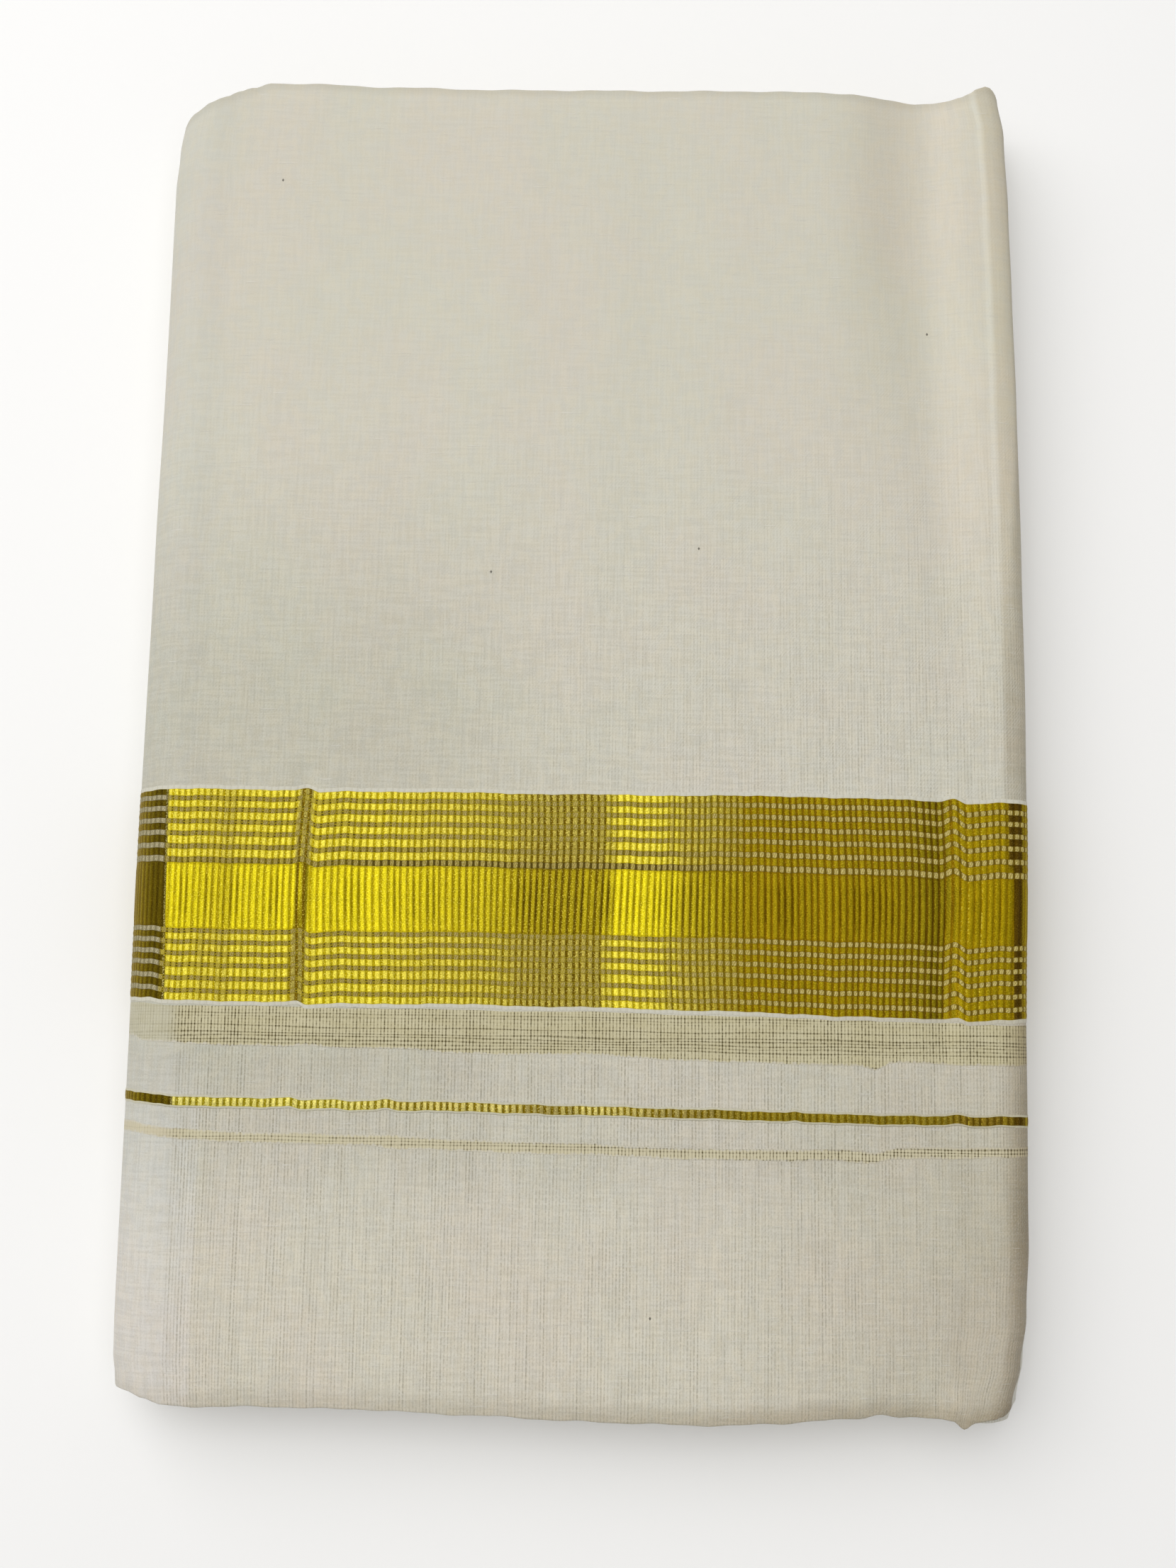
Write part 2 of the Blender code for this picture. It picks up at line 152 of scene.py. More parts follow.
CREASES = (
    # pressed across the border, left and right
    Crease(((-65.8, -78.0), (-65.3, -66.0), (-65.2, -40.0), (-64.7, -20.0), (-64.4, -10.0)), -0.75, 3.2, 1.5),
    Crease(((-61.6, -76.0), (-60.8, -44.0), (-60.2, -12.0)), 0.28, 1.6, 4.0),
    Crease(((85.6, -84.0), (85.2, -60.0), (85.0, -36.0), (84.8, -12.0)), -0.85, 3.4, 1.9),
    Crease(((89.2, -82.0), (88.5, -50.0), (88.0, -14.0), (87.4, -4.0)), 0.45, 1.1, 2.8),
    # the corner at the lower right is pinched to a tongue
    Crease(((74.0, -163.0), (79.1, -158.3), (85.0, -154.6), (91.5, -151.2), (97.0, -149.0)),
           -1.25, 13.0, 3.6, 6.0),
    Crease(((84.0, -166.0), (88.6, -158.6), (94.0, -154.0)), 0.8, 4.0, 6.0, 4.0),
    # where the front leaf starts to turn over the spine
    Crease(((-87.6, -166.0), (-88.2, -140.0), (-88.4, -100.0), (-88.6, -76.0)), -0.16, 1.2, 2.6, 14.0),
    Crease(((-85.0, -166.0), (-84.0, -150.0), (-83.0, -141.0)), -0.3, 2.2, 3.0, 6.0),
    # long faint press lines of the leaves
    Crease(((-20.0, -166.0), (-20.6, -150.0), (-21.4, -132.0)), -0.18, 1.4, 2.2, 12.0),
    Crease(((-44.0, 166.0), (-46.0, 90.0), (-43.0, 30.0)), -0.20, 7.0, 10.0, 30.0),
    Crease(((14.0, 166.0), (17.0, 100.0), (12.0, 20.0)), -0.22, 8.0, 9.0, 30.0),
    Crease(((38.0, -84.0), (41.0, -120.0), (45.0, -166.0)), 0.20, 9.0, 7.0, 20.0),
    # underside
    Crease(((-176.0, -162.0), (-179.0, -40.0), (-177.0, 60.0), (-181.0, 162.0)), -0.45, 2.2, 3.4, 12.0),
    Crease(((-243.0, -162.0), (-240.0, 10.0), (-244.0, 162.0)), -0.35, 3.0, 2.0, 20.0),
    Crease(((-301.0, -162.0), (-297.0, -60.0), (-300.0, 70.0)), -0.40, 2.6, 3.0, 16.0),
    # spine and lower fold
    Crease(((-121.0, -150.0), (-119.0, -60.0), (-121.5, 70.0)), -0.30, 2.4, 1.8, 24.0),
    Crease(((-104.5, 148.0), (-105.5, 70.0), (-103.5, -10.0)), -0.20, 3.0, 2.4, 24.0),
    Crease(((-338.0, -158.0), (-340.0, 20.0), (-337.0, 158.0)), -0.25, 2.0, 2.6, 30.0),
)


# --- The outermost strip -------------------------------------------------------------------------

@dataclass(frozen=True)
class Strip:
    """Path of the outermost strip round the bundle.

    run is the distance along it, 0 in the middle of the front and growing to the right; depth is the
    distance under its outer face.
    """

    width: float = 213.8
    thickness: float = 25.5
    lower_radius: float = 8.4
    flap_underside: float = 17.2
    flap_x: float = 101.5
    steady_x: float = 80.0
    tuck: float = 9.0
    tuck_ease: float = 5.0
    wall: float = 1.4
    # Y of the two folded edges: run, upper, lower
    edges: Array = field(default_factory=lambda: np.array([
        (-372.0, 160.8, -161.4), (-350.0, 161.4, -161.8), (-320.0, 162.0, -161.0),
        (-230.0, 161.3, -161.2), (-160.0, 158.6, -160.4), (-126.0, 153.6, -158.0),
        (-110.0, 153.0, -156.4), (-103.0, 154.5, -156.3), (-98.0, 156.0, -157.7), (-94.0, 157.1, -158.8),
        (-90.0, 158.5, -159.2), (-86.0, 159.75, -159.4), (-81.0, 161.5, -159.4), (-72.0, 161.5, -159.2),
        (-50.0, 161.0, -159.5), (-20.0, 160.6, -160.5), (0.0, 160.9, -161.4), (12.0, 161.0, -161.7),
        (31.0, 161.2, -162.0), (48.0, 161.2, -161.4), (56.0, 161.2, -160.7), (65.0, 160.95, -160.2),
        (70.0, 160.5, -159.2), (75.0, 160.2, -160.1), (83.0, 159.6, -160.1), (88.0, 159.2, -160.3),
        (92.6, 159.0, -162.3), (96.5, 159.2, -160.8), (98.5, 160.1, -160.5), (101.0, 161.5, -160.1),
        (103.0, 162.2, -159.4), (107.0, 160.8, -157.8), (125.0, 158.4, -156.4),
    ]))
    # left side: Y, how far the spine stands in
    left_side: Array = field(default_factory=lambda: np.array([
        (-160.0, 1.9), (-154.0, 1.2), (-149.0, 0.6), (-140.0, 0.45), (-100.0, 0.45), (-60.0, 0.5),
        (0.0, 0.6), (40.0, 0.8), (80.0, 1.15), (120.0, 1.1), (136.0, 1.15), (146.0, 1.8), (156.0, 3.0),
    ]))
    # right side: Y, X of the flap's end, lift of its top, X of the lower fold
    right_side: Array = field(default_factory=lambda: np.array([
        (-161.0, 98.6, -1.7, 101.6), (-157.0, 100.0, -1.7, 103.4), (-148.0, 102.15, -1.6, 105.1),
        (-138.0, 103.6, -1.3, 106.3), (-120.0, 104.5, -0.7, 106.9), (-80.0, 105.05, -0.2, 106.9),
        (-20.0, 106.2, 0.0, 106.9), (10.0, 106.55, 0.0, 106.9), (40.0, 106.35, 0.0, 106.9),
        (80.0, 105.85, 0.2, 106.8), (110.0, 105.4, 0.3, 106.7), (130.0, 104.95, 0.6, 106.5),
        (150.0, 104.1, 0.9, 106.2), (161.0, 102.4, 1.4, 104.8),
    ]))
    # trough down from the upper edge: Y, X of its middle, depth
    trough: Array = field(default_factory=lambda: np.array([
        (-40.0, 92.0, 0.0), (-8.0, 91.0, 0.3), (27.0, 89.0, 1.0), (52.0, 87.0, 1.5), (92.0, 83.0, 1.9),
        (122.0, 79.5, 2.1), (160.0, 80.0, 2.1),
    ]))
    trough_half_width: float = 8.5
    ridge_offset: float = 15.0
    ridge_share: float = 0.45
    ridge_half_width: float = 6.0
    sag: float = 2.2
    sag_start: tuple[float, float] = (25.0, -55.0)
    sag_length: tuple[float, float] = (79.0, 105.0)
    spine_ease: float = 16.0
    flap_ease: float = 12.0
    crease_ease: float = 6.0
    flap_droop: float = 0.1
    shoulder_drop: float = 1.35
    shoulder_x: float = 95.5
    edge_roll: float = 0.5
    edge_roll_width: float = 11.0
    rim_roll: float = 0.75
    rim_roll_width: float = 4.2
    under_seat: float = 0.48

    @property
    def spine_radius(self) -> float:
        """Radius of the spine's outer face."""
        return self.thickness / 2

    @property
    def spine_x(self) -> float:
        """X at which the front meets the spine."""
        return self.spine_radius - self.width / 2

    @property
    def lower_x(self) -> float:
        """X at which the underside meets the lower fold."""
        return self.width / 2 - self.lower_radius

    @property
    def flap_radius(self) -> float:
        """Radius of the flap's round end where it isn't lifted."""
        return (self.thickness - self.flap_underside) / 2

    @property
    def back_start(self) -> float:
        """Run at which the spine ends and the underside begins."""
        return self.spine_x - math.pi * self.spine_radius

    @property
    def fold_start(self) -> float:
        """Run at which the underside ends and the lower fold begins."""
        return self.back_start - (self.lower_x - self.spine_x)

    @property
    def fold_end(self) -> float:
        """Run at which the lower fold ends and its tucked stretch begins."""
        return self.fold_start - math.pi * self.lower_radius

    @property
    def flap_end(self) -> float:
        """Run at which the flap's round end turns into its tucked stretch."""
        return self.flap_x + math.pi * self.flap_radius

    @property
    def first(self) -> float:
        """Run of the end tucked over the lower fold."""
        return self.fold_end - self.tuck

    @property
    def last(self) -> float:
        """Run of the end tucked under the flap."""
        return self.flap_end + self.tuck

    def upper(self, run: Array) -> Array:
        """Y of the upper folded edge."""
        return eased(self.edges, run, 1) + waves(run, (0.11, 23.0, 0.4), (0.07, 9.7, 2.0))

    def lower(self, run: Array) -> Array:
        """Y of the lower folded edge."""
        return eased(self.edges, run, 2) + waves(run, (0.10, 19.0, 1.1), (0.07, 8.3, 0.3))

    def lift(self, y: Array) -> Array:
        """How far the flap's top stands over the thickness."""
        return eased(self.right_side, y, 2) - self.flap_droop

    def lifted_radius(self, y: Array) -> Array:
        """Radius of the flap's round end at a height."""
        return (self.thickness + self.lift(y) - self.flap_underside) / 2

    def flap_start(self, y: Array) -> Array:
        """X at which the front turns into the flap's round end."""
        return eased(self.right_side, y, 1) - self.lifted_radius(y)

    def lower_start(self, y: Array) -> Array:
        """X at which the underside turns into the lower fold."""
        return eased(self.right_side, y, 3) - self.lower_radius

    def swell(self, run: Array, y: Array) -> Array:
        """Faint unevenness of the whole cloth and its creases, outwards."""
        slow = 0.10 * np.sin(TAU * (run / 63.0 + y / 410.0) + 0.7)
        slow += 0.06 * np.sin(TAU * (run / 27.0 - y / 360.0) + 2.1)
        slow += 0.07 * np.sin(TAU * (y / 97.0 + run / 240.0) + 0.4)
        return slow + sum(crease.height(run, y) for crease in CREASES)

    def relief(self, x: Array, y: Array) -> Array:
        """Height of the front's outer face over the thickness, without its creases.

        Args:
            x: Places across the front.
            y: Places up the front.

        Returns:
            Heights in millimetres, negative where the front sinks.
        """
        depth = eased(self.trough, y, 2)
        offset = x - eased(self.trough, y, 1)
        height = -depth * bell(offset, self.trough_half_width)
        height += depth * self.ridge_share * bell(offset - self.ridge_offset, self.ridge_half_width)
        across, down = x - self.sag_start[0], self.sag_start[1] - y
        height -= self.sag * smooth(across / self.sag_length[0]) * smooth(down / self.sag_length[1])
        to_edge = np.minimum(self.upper(x) - y, y - self.lower(x))
        height -= self.edge_roll * (1.0 - smooth(to_edge / self.edge_roll_width))
        height -= self.rim_roll * (1.0 - smooth(to_edge / self.rim_roll_width))
        at_spine = smooth((x - self.spine_x) / self.spine_ease)
        at_flap = smooth((x - self.flap_start(y)) / self.flap_ease + 1.0)
        return height * at_spine * (1.0 - at_flap) + self.lift(y) * at_flap

    def shoulder(self, x: Array) -> Array:
        """How far the flap's top sinks towards its end."""
        past = x - self.shoulder_x
        return self.shoulder_drop * smooth(past / 15.0) * smooth(past / 9.0)

    def stand_in(self, x: Array, y: Array) -> Array:
        """How far points near the spine stand to the right of a straight bundle's."""
        return eased(self.left_side, y) * smooth((-76.0 - x) / 26.0)

    def front_height(self, x: Array, y: Array) -> Array:
        """Height of the front over the thickness, creases and all."""
        to_flap, from_spine = self.flap_start(y) - x, x - self.spine_x
        fade = smooth(to_flap / self.crease_ease) * smooth(from_spine / self.crease_ease)
        return self.relief(x, y) + self.swell(x, y) * fade

    def under_gap(self, y: Array) -> Array:
        """How far the underside keeps off the table: more where a band lies on it."""
        border = smooth((y + 86.0) / 6.0) * smooth((-15.0 - y) / 6.0)
        line = smooth((y + 98.0) / 3.0) * smooth((-85.0 - y) / 3.0)
        return 0.04 + self.under_seat * np.maximum(border, line)

    def under(self, run: Array, ease: float) -> Array:
        """1 on the underside and 0 off it, eased over some millimetres to each side of where it ends."""
        past_spine, before_fold = self.back_start + ease - run, run - self.fold_start + ease
        return smooth(past_spine / (2 * ease)) * smooth(before_fold / (2 * ease))

    def tucked(self, run: Array) -> Array:
        """1 on the two tucked ends and 0 off them."""
        ease = self.tuck_ease
        return smooth((run - self.flap_end + ease) / ease) + smooth((self.fold_end + ease - run) / ease)

    def point(self, run: Array, y: Array, depth: Array) -> Array:
        """Places of points of the strip.

        Args:
            run: Distance along the strip.
            y: Height up the front.
            depth: Distance under the outer face; negative stands proud.

        Returns:
            Places in metres, one row of three for each point.
        """
        run, y, depth = (np.asarray(a, float) for a in np.broadcast_arrays(run, y, depth))
        flap_x, lower_x = self.flap_start(y), self.lower_start(y)
        swell = self.swell(run, y)
        under = self.under(run, 6.0)
        swell = swell * (1.0 - under) - under * (self.under_gap(y) + np.maximum(0.3 - swell, 0.0) * 0.5)
        outer = depth - swell * (1.0 - self.tucked(run))

        radius = self.lifted_radius(y)
        turn = math.pi / 2 - (run - self.flap_x) / self.flap_radius
        spine = math.pi / 2 + (self.spine_x - run) / self.spine_radius
        fold = -math.pi / 2 + (self.fold_start - run) / self.lower_radius
        front_x = run + smooth((run - self.steady_x) / (self.flap_x - self.steady_x)) * (flap_x - self.flap_x)
        back_x = self.spine_x + self.back_start - run
        back_x += smooth((back_x - self.steady_x) / (self.lower_x - self.steady_x)) * (lower_x - self.lower_x)
        over_x = lower_x + (self.lower_x - self.tuck - lower_x) * (self.fold_end - run) / self.tuck
        under_x = flap_x + (self.flap_x - self.tuck - flap_x) * (run - self.flap_end) / self.tuck
        flap_arc_x = flap_x + (radius - outer) * np.cos(turn)
        flap_arc_sink = self.shoulder(flap_arc_x) * np.maximum(np.sin(turn), 0.0) ** 1.5
        front_z = self.thickness + self.relief(front_x, y) - self.shoulder(front_x) - outer
        places = (
            (run > self.flap_end, under_x, self.flap_underside + outer),
            (run > self.flap_x, flap_arc_x,
             self.flap_underside + radius + (radius - outer) * np.sin(turn) - flap_arc_sink),
            (run > self.spine_x, front_x, front_z),
            (run > self.back_start, self.spine_x + (self.spine_radius - outer) * np.cos(spine),
             self.spine_radius + (self.spine_radius - outer) * np.sin(spine)),
            (run > self.fold_start, back_x, outer),
            (run > self.fold_end, lower_x + (self.lower_radius - outer) * np.cos(fold),
             self.lower_radius + (self.lower_radius - outer) * np.sin(fold)),
            (np.full(run.shape, True), over_x, 2 * self.lower_radius - outer),
        )
        tests = [test for test, _, _ in places]
        x = np.select(tests, [x for _, x, _ in places])
        z = np.select(tests, [z for _, _, z in places])
        return np.stack([x + self.stand_in(x, y), y, z], axis=-1) * MM

    def columns(self, counts: Sequence[int]) -> Array:
        """Runs of a grid's columns.

        Args:
            counts: Steps along each stretch, from the tuck over the lower fold to the one under the flap.

        Returns:
            The runs, rising.
        """
        marks = (self.first, self.fold_end, self.fold_start, self.back_start, self.spine_x, self.flap_x,
                 self.flap_end, self.last)
        parts = [np.linspace(a, b, n, endpoint=False) for a, b, n in zip(marks, marks[1:], counts)]
        return np.append(np.concatenate(parts), self.last)


# --- Making meshes -------------------------------------------------------------------------------

def deselect() -> None:
    """Nothing is selected afterwards."""
    bpy.ops.object.select_all(action="DESELECT")


def set_uv(mesh: bpy.types.Mesh, name: str, values: Array) -> None:
    """Gives a mesh a UV map from one pair for each of its points.

    Args:
        mesh: The mesh.
        name: Name of the map.
        values: One pair for each vertex.
    """
    layer = mesh.uv_layers.get(name) or mesh.uv_layers.new(name=name)
    corners = np.empty(len(mesh.loops), dtype=np.int32)
    mesh.loops.foreach_get("vertex_index", corners)
    layer.data.foreach_set("uv", values[corners].astype(np.float32).ravel())


def woven_grid(
    name: str,
    points: Array,
    maps: dict[str, Array],
    materials: Sequence[bpy.types.Material],
    row_material: Sequence[int] | None = None,
    sharp: float = 70.0,
) -> bpy.types.Object:
    """A grid primitive whose points are moved into place, and whose open ends are closed.

    Args:
        name: Name of the piece.
        points: Places in metres, columns by rows by three. Rows or columns that meet are merged.
        maps: UV maps by name, each columns by rows by two.
        materials: Finishes of the piece.
        row_material: Which finish each row of faces takes, if not the first.
        sharp: Angle in degrees from which an edge shows as an edge.

    Returns:
        The finished piece.
    """
    columns, rows = points.shape[:2]
    deselect()
    bpy.ops.mesh.primitive_grid_add(x_subdivisions=columns - 1, y_subdivisions=rows - 1, size=2.0)
    piece = bpy.context.active_object
    piece.name = name
    mesh = piece.data
    mesh.name = name
    start = np.empty(len(mesh.vertices) * 3, dtype=np.float32)
    mesh.vertices.foreach_get("co", start)
    start = start.reshape(-1, 3)
    column = np.rint((start[:, 0] + 1.0) / 2 * (columns - 1)).astype(int)
    row = np.rint((start[:, 1] + 1.0) / 2 * (rows - 1)).astype(int)
    for layer in list(mesh.uv_layers):
        mesh.uv_layers.remove(layer)
    for map_name, values in maps.items():
        set_uv(mesh, map_name, values[column, row])
    for material in materials:
        mesh.materials.append(material)
    if row_material is not None:
        corner = np.empty(len(mesh.loops), dtype=np.int32)
        mesh.loops.foreach_get("vertex_index", corner)
        starts = np.empty(len(mesh.polygons), dtype=np.int32)
        mesh.polygons.foreach_get("loop_start", starts)
        lowest = np.minimum.reduceat(row[corner], starts)
        mesh.polygons.foreach_set("material_index", np.asarray(row_material, dtype=np.int32)[lowest])
    mesh.vertices.foreach_set("co", points[column, row].astype(np.float32).ravel())
    mesh.update()
    bpy.ops.object.mode_set(mode="EDIT")
    bpy.ops.mesh.select_all(action="SELECT")
    bpy.ops.mesh.remove_doubles(threshold=1e-6)
    bpy.ops.mesh.select_all(action="DESELECT")
    bpy.ops.mesh.select_non_manifold(use_wire=False, use_multi_face=False, use_non_contiguous=False,
                                     use_verts=False)
    bpy.ops.mesh.fill_holes(sides=0)
    bpy.ops.mesh.select_all(action="SELECT")
    bpy.ops.mesh.normals_make_consistent(inside=False)
    bpy.ops.mesh.select_all(action="DESELECT")
    bpy.ops.object.mode_set(mode="OBJECT")
    bpy.ops.object.shade_smooth_by_angle(angle=math.radians(sharp))
    return piece


# --- Finishes ------------------------------------------------------------------------------------

class Graph:
    """Adds and links the nodes of one material."""

    def __init__(self, name: str) -> None:
        """Starts a material with one shader.

        Args:
            name: Name of the material.
        """
        self.material = bpy.data.materials.new(name)
        self.material.use_nodes = True
        self.tree = self.material.node_tree
        self.shader = self.tree.nodes["Principled BSDF"]

    def node(self, kind: str, **settings: object) -> bpy.types.Node:
        """Adds a node of a kind, with its settings."""
        made = self.tree.nodes.new(kind)
        for name, value in settings.items():
            setattr(made, name, value)
        return made

    def feed(self, socket: Socket, value: object) -> None:
        """Links a socket, or sets it on the node itself."""
        if isinstance(value, bpy.types.NodeSocket):
            self.tree.links.new(value, socket)
        elif isinstance(value, tuple) and len(value) == 3 and len(socket.default_value) == 4:
            socket.default_value = (*value, 1.0)
        else:
            socket.default_value = value

    def math(self, operation: str, *operands: Operand, clamp: bool = False) -> Socket:
        """One sum of numbers.

        Args:
            operation: Name of the operation, as Blender has it.
            operands: Numbers or sockets.
            clamp: Whether the result is kept from 0 to 1.

        Returns:
            The result's socket.
        """
        made = self.node("ShaderNodeMath", operation=operation, use_clamp=clamp)
        for socket, value in zip(made.inputs, operands):
            self.feed(socket, value)
        return made.outputs[0]

    def times(self, *factors: Operand) -> Socket:
        """Product of several numbers."""
        result = factors[0]
        for factor in factors[1:]:
            result = self.math("MULTIPLY", result, factor)
        return result

    def plus(self, *terms: Operand) -> Socket:
        """Sum of several numbers."""
        result = terms[0]
        for term in terms[1:]:
            result = self.math("ADD", result, term)
        return result

    def minus(self, first: Operand, second: Operand) -> Socket:
        """First number less the second."""
        return self.math("SUBTRACT", first, second)

    def apart(self, first: Operand, second: Operand) -> Socket:
        """How far two numbers are from each other."""
        return self.math("ABSOLUTE", self.minus(first, second))

    def wave(self, place: Socket, length: float) -> Socket:
        """Cosine along a place, highest at every whole length."""
        return self.math("COSINE", self.times(place, TAU / length))

    def chance(self, number: Socket) -> Socket:
        """Random number from 0 to 1, the same wherever the number is the same."""
        made = self.node("ShaderNodeTexWhiteNoise", noise_dimensions="1D")
        self.feed(made.inputs["W"], number)
        return made.outputs["Value"]

    def tinted(self, share: Operand, colour: object, tint: Colour) -> Socket:
        """Colour multiplied by a tint, as far as the share says."""
        return self.mix(share, colour, tint, "MULTIPLY")

    def span(self, value: Socket, low: float, high: float, to_low: float = 0.0,
             to_high: float = 1.0) -> Socket:
        """Eases a number from one span to another.

        Args:
            value: The number.
            low: Start of its span.
            high: End of its span.
            to_low: Result at the start.
            to_high: Result at the end.

        Returns:
            The eased number.
        """
        made = self.node("ShaderNodeMapRange", interpolation_type="SMOOTHSTEP")
        for socket, number in zip(made.inputs, (value, low, high, to_low, to_high)):
            self.feed(socket, number)
        return made.outputs[0]

    def uv(self, name: str) -> tuple[Socket, Socket]:
        """The two numbers of a UV map."""
        parts = self.node("ShaderNodeSeparateXYZ")
        self.feed(parts.inputs[0], self.node("ShaderNodeUVMap", uv_map=name).outputs[0])
        return parts.outputs[0], parts.outputs[1]

    def cloth(self) -> tuple[Socket, Socket]:
        """Run along the strip and height up it, in millimetres."""
        u, v = self.uv("cloth")
        return self.times(u, 1 / MM), self.times(v, 1 / MM)

    def grain(self, run: Socket, up: Socket, by_run: float, by_up: float, *kind: float) -> Socket:
        """Smooth noise on the cloth.

        Args:
            run: Run along the strip, in millimetres.
            up: Height up it, in millimetres.
            by_run: Cells for each millimetre of run.
            by_up: Cells for each millimetre of height.
            kind: Detail and roughness, as noise takes them.

        Returns:
            Noise from 0 to 1.
        """
        return self.noise(self.times(run, by_run), self.times(up, by_up), *kind)

    def noise(self, x: Operand, y: Operand, detail: float = 2.0, roughness: float = 0.5) -> Socket:
        """Smooth noise, one cell for each unit of x and of y.

        Args:
            x: First place, in cells.
            y: Second place, in cells.
            detail: How many finer layers it has.
            roughness: Share of the finer layers.

        Returns:
            Noise from 0 to 1, about 0.5 in the middle.
        """
        place = self.node("ShaderNodeCombineXYZ")
        self.feed(place.inputs[0], x)
        self.feed(place.inputs[1], y)
        made = self.node("ShaderNodeTexNoise", noise_dimensions="2D")
        self.feed(made.inputs["Vector"], place.outputs[0])
        made.inputs["Scale"].default_value = 1.0
        made.inputs["Detail"].default_value = detail
        made.inputs["Roughness"].default_value = roughness
        return made.outputs[0]

    def mix(self, factor: Operand, first: object, second: object, blend: str = "MIX") -> Socket:
        """Mixes two colours.

        Args:
            factor: Share of the second.
            first: A colour or its socket.
            second: A colour or its socket.
            blend: How the second is laid on the first.

        Returns:
            The mixed colour.
        """
        made = self.node("ShaderNodeMix", data_type="RGBA", blend_type=blend)
        self.feed(made.inputs["Factor"], factor)
        self.feed(made.inputs[6], first)
        self.feed(made.inputs[7], second)
        return made.outputs[2]

    def ramp(self, factor: Socket, stops: Sequence[tuple[float, Colour]]) -> Socket:
        """A colour that runs through several stops.

        Args:
            factor: Place on the ramp, 0 to 1.
            stops: Places and colours.

        Returns:
            The colour.
        """
        made = self.node("ShaderNodeValToRGB")
        made.color_ramp.interpolation = "EASE"
        elements = made.color_ramp.elements
        while len(elements) < len(stops):
            elements.new(0.5)
        for element, (place, colour) in zip(elements, stops):
            element.position = place
            element.color = (*colour, 1.0)
        self.feed(made.inputs[0], factor)
        return made.outputs[0]

    def bump(self, height: Socket, distance: float, strength: float = 1.0) -> None:
        """Fine relief of the shader.

        Args:
            height: Height from 0 to 1.
            distance: What 1 stands for, in metres.
            strength: How much of it shows.
        """
        made = self.node("ShaderNodeBump")
        made.inputs["Strength"].default_value = strength
        made.inputs["Distance"].default_value = distance
        self.feed(made.inputs["Height"], height)
        self.feed(self.shader.inputs["Normal"], made.outputs[0])

    def set(self, **values: object) -> None:
        """Sets or links the shader's own sockets, named with _ for a space."""
        for name, value in values.items():
            self.feed(self.shader.inputs[name.replace("_", " ")], value)


@dataclass(frozen=True)
class OnCord:
    """Where a point of a woven band lies: run and height in millimetres, and its row and cord.

    phase runs from 0 to 1 across the cord and fall from -1 to 1 down its row. end is fall without its sign.
    """

    run: Socket
    up: Socket
    row: Socket
    cord: Socket
    phase: Socket
    fall: Socket
    end: Socket

    @classmethod
    def read(cls, g: Graph) -> "OnCord":
        """Reads the band's two maps."""
        rib, lane = g.uv("ribs")
        fall = g.times(g.minus(g.math("FRACT", lane), 0.5), 2.0)
        return cls(*g.cloth(), g.math("FLOOR", lane), g.math("FLOOR", rib), g.math("FRACT", rib), fall,
                   g.math("ABSOLUTE", fall))

    def round(self, g: Graph, middle: float, half: float, low: float, high: float) -> Socket:
        """1 on a rounded bead in the middle of its row and cord, 0 off it.

        Args:
            g: The material.
            middle: Phase of the bead's middle.
            half: Its half width, in phase.
            low: Where it starts to end.
            high: Where it has ended.

        Returns:
            The share.
        """
        across = g.math("POWER", g.times(g.apart(self.phase, middle), 1 / half), 3.0)
        return g.span(g.plus(across, g.math("POWER", self.end, 4.0)), low, high, 1.0, 0.0)


# Dark specks in the cotton: run, Y
SPECKS = ((17.4, -138.6), (27.6, 41.5), (83.8, 97.5), (-22.4, 35.0), (-76.4, 134.7))


@dataclass(frozen=True)
class Shade:
    """A tint over part of the cloth. Most are painted shade where the cloth turns from the light, or painted
    light where it turns towards it; those around the border only make the cotton darker or lighter there.

    Each span is low and high, and may add the results at both, as Graph.span takes them.
    """

    tint: Colour
    runs: tuple[tuple[float, ...], ...] = ()
    ups: tuple[tuple[float, ...], ...] = ()
    front_only: bool = True
    share: float = 1.0


SHADES = (
    # the lower right turns away from the light
    Shade((0.87, 0.84, 0.79), ((25.0, 92.0),), ((-30.0, -125.0),), share=0.75),
    # around the border, and just under it
    Shade((0.885, 0.892, 0.872), ((5.0, -50.0),), ((-115.0, -70.0), (0.0, 75.0, 1.0, 0.0))),
    Shade((0.975, 0.982, 0.97), ((30.0, -10.0),), ((28.0, -6.0), (-86.0, -70.0))),
    Shade((0.965, 0.96, 0.955), (), ((-77.0, -83.0), (-116.0, -104.0)), front_only=False),
    Shade((1.04, 1.02, 1.01), ((90.0, 40.0),), ((-104.0, -132.0),)),
    # beside the spine: painted cool light where the cloth turns towards the light, and a painted highlight on
    # its shoulder under the border
    Shade((0.955, 0.965, 0.985), ((-87.0, -96.0),)),
    Shade((1.05, 1.06, 1.12), ((-86.0, -87.6),), ((-70.0, -100.0),), front_only=False),
    # painted shade in the trough, and painted light on the cloth between it and the flap's end
    Shade((0.955, 0.945, 0.92), ((56.0, 71.0), (87.0, 80.0)), ((40.0, 120.0),)),
    Shade((1.065, 1.05, 1.04), ((83.0, 89.0), (99.5, 96.5)), ((-10.0, 60.0),), front_only=False),
    # painted shade on the flap's round end, from the border down, and beside it at the bottom
    Shade((0.75, 0.715, 0.655), ((98.6, 100.8),), ((-40.0, -5.0),)),
    Shade((0.86, 0.835, 0.80), ((98.5, 106.0),), ((10.0, -30.0),)),
    Shade((0.73, 0.68, 0.61), ((96.5, 104.0),), ((-55.0, -95.0), (-140.0, -116.0, 0.35, 1.0))),
    Shade((0.915, 0.905, 0.89), ((82.0, 92.0),), ((-95.0, -120.0),)),
    Shade((0.84, 0.82, 0.80), ((99.2, 101.5),), ((-95.0, -120.0),)),
)


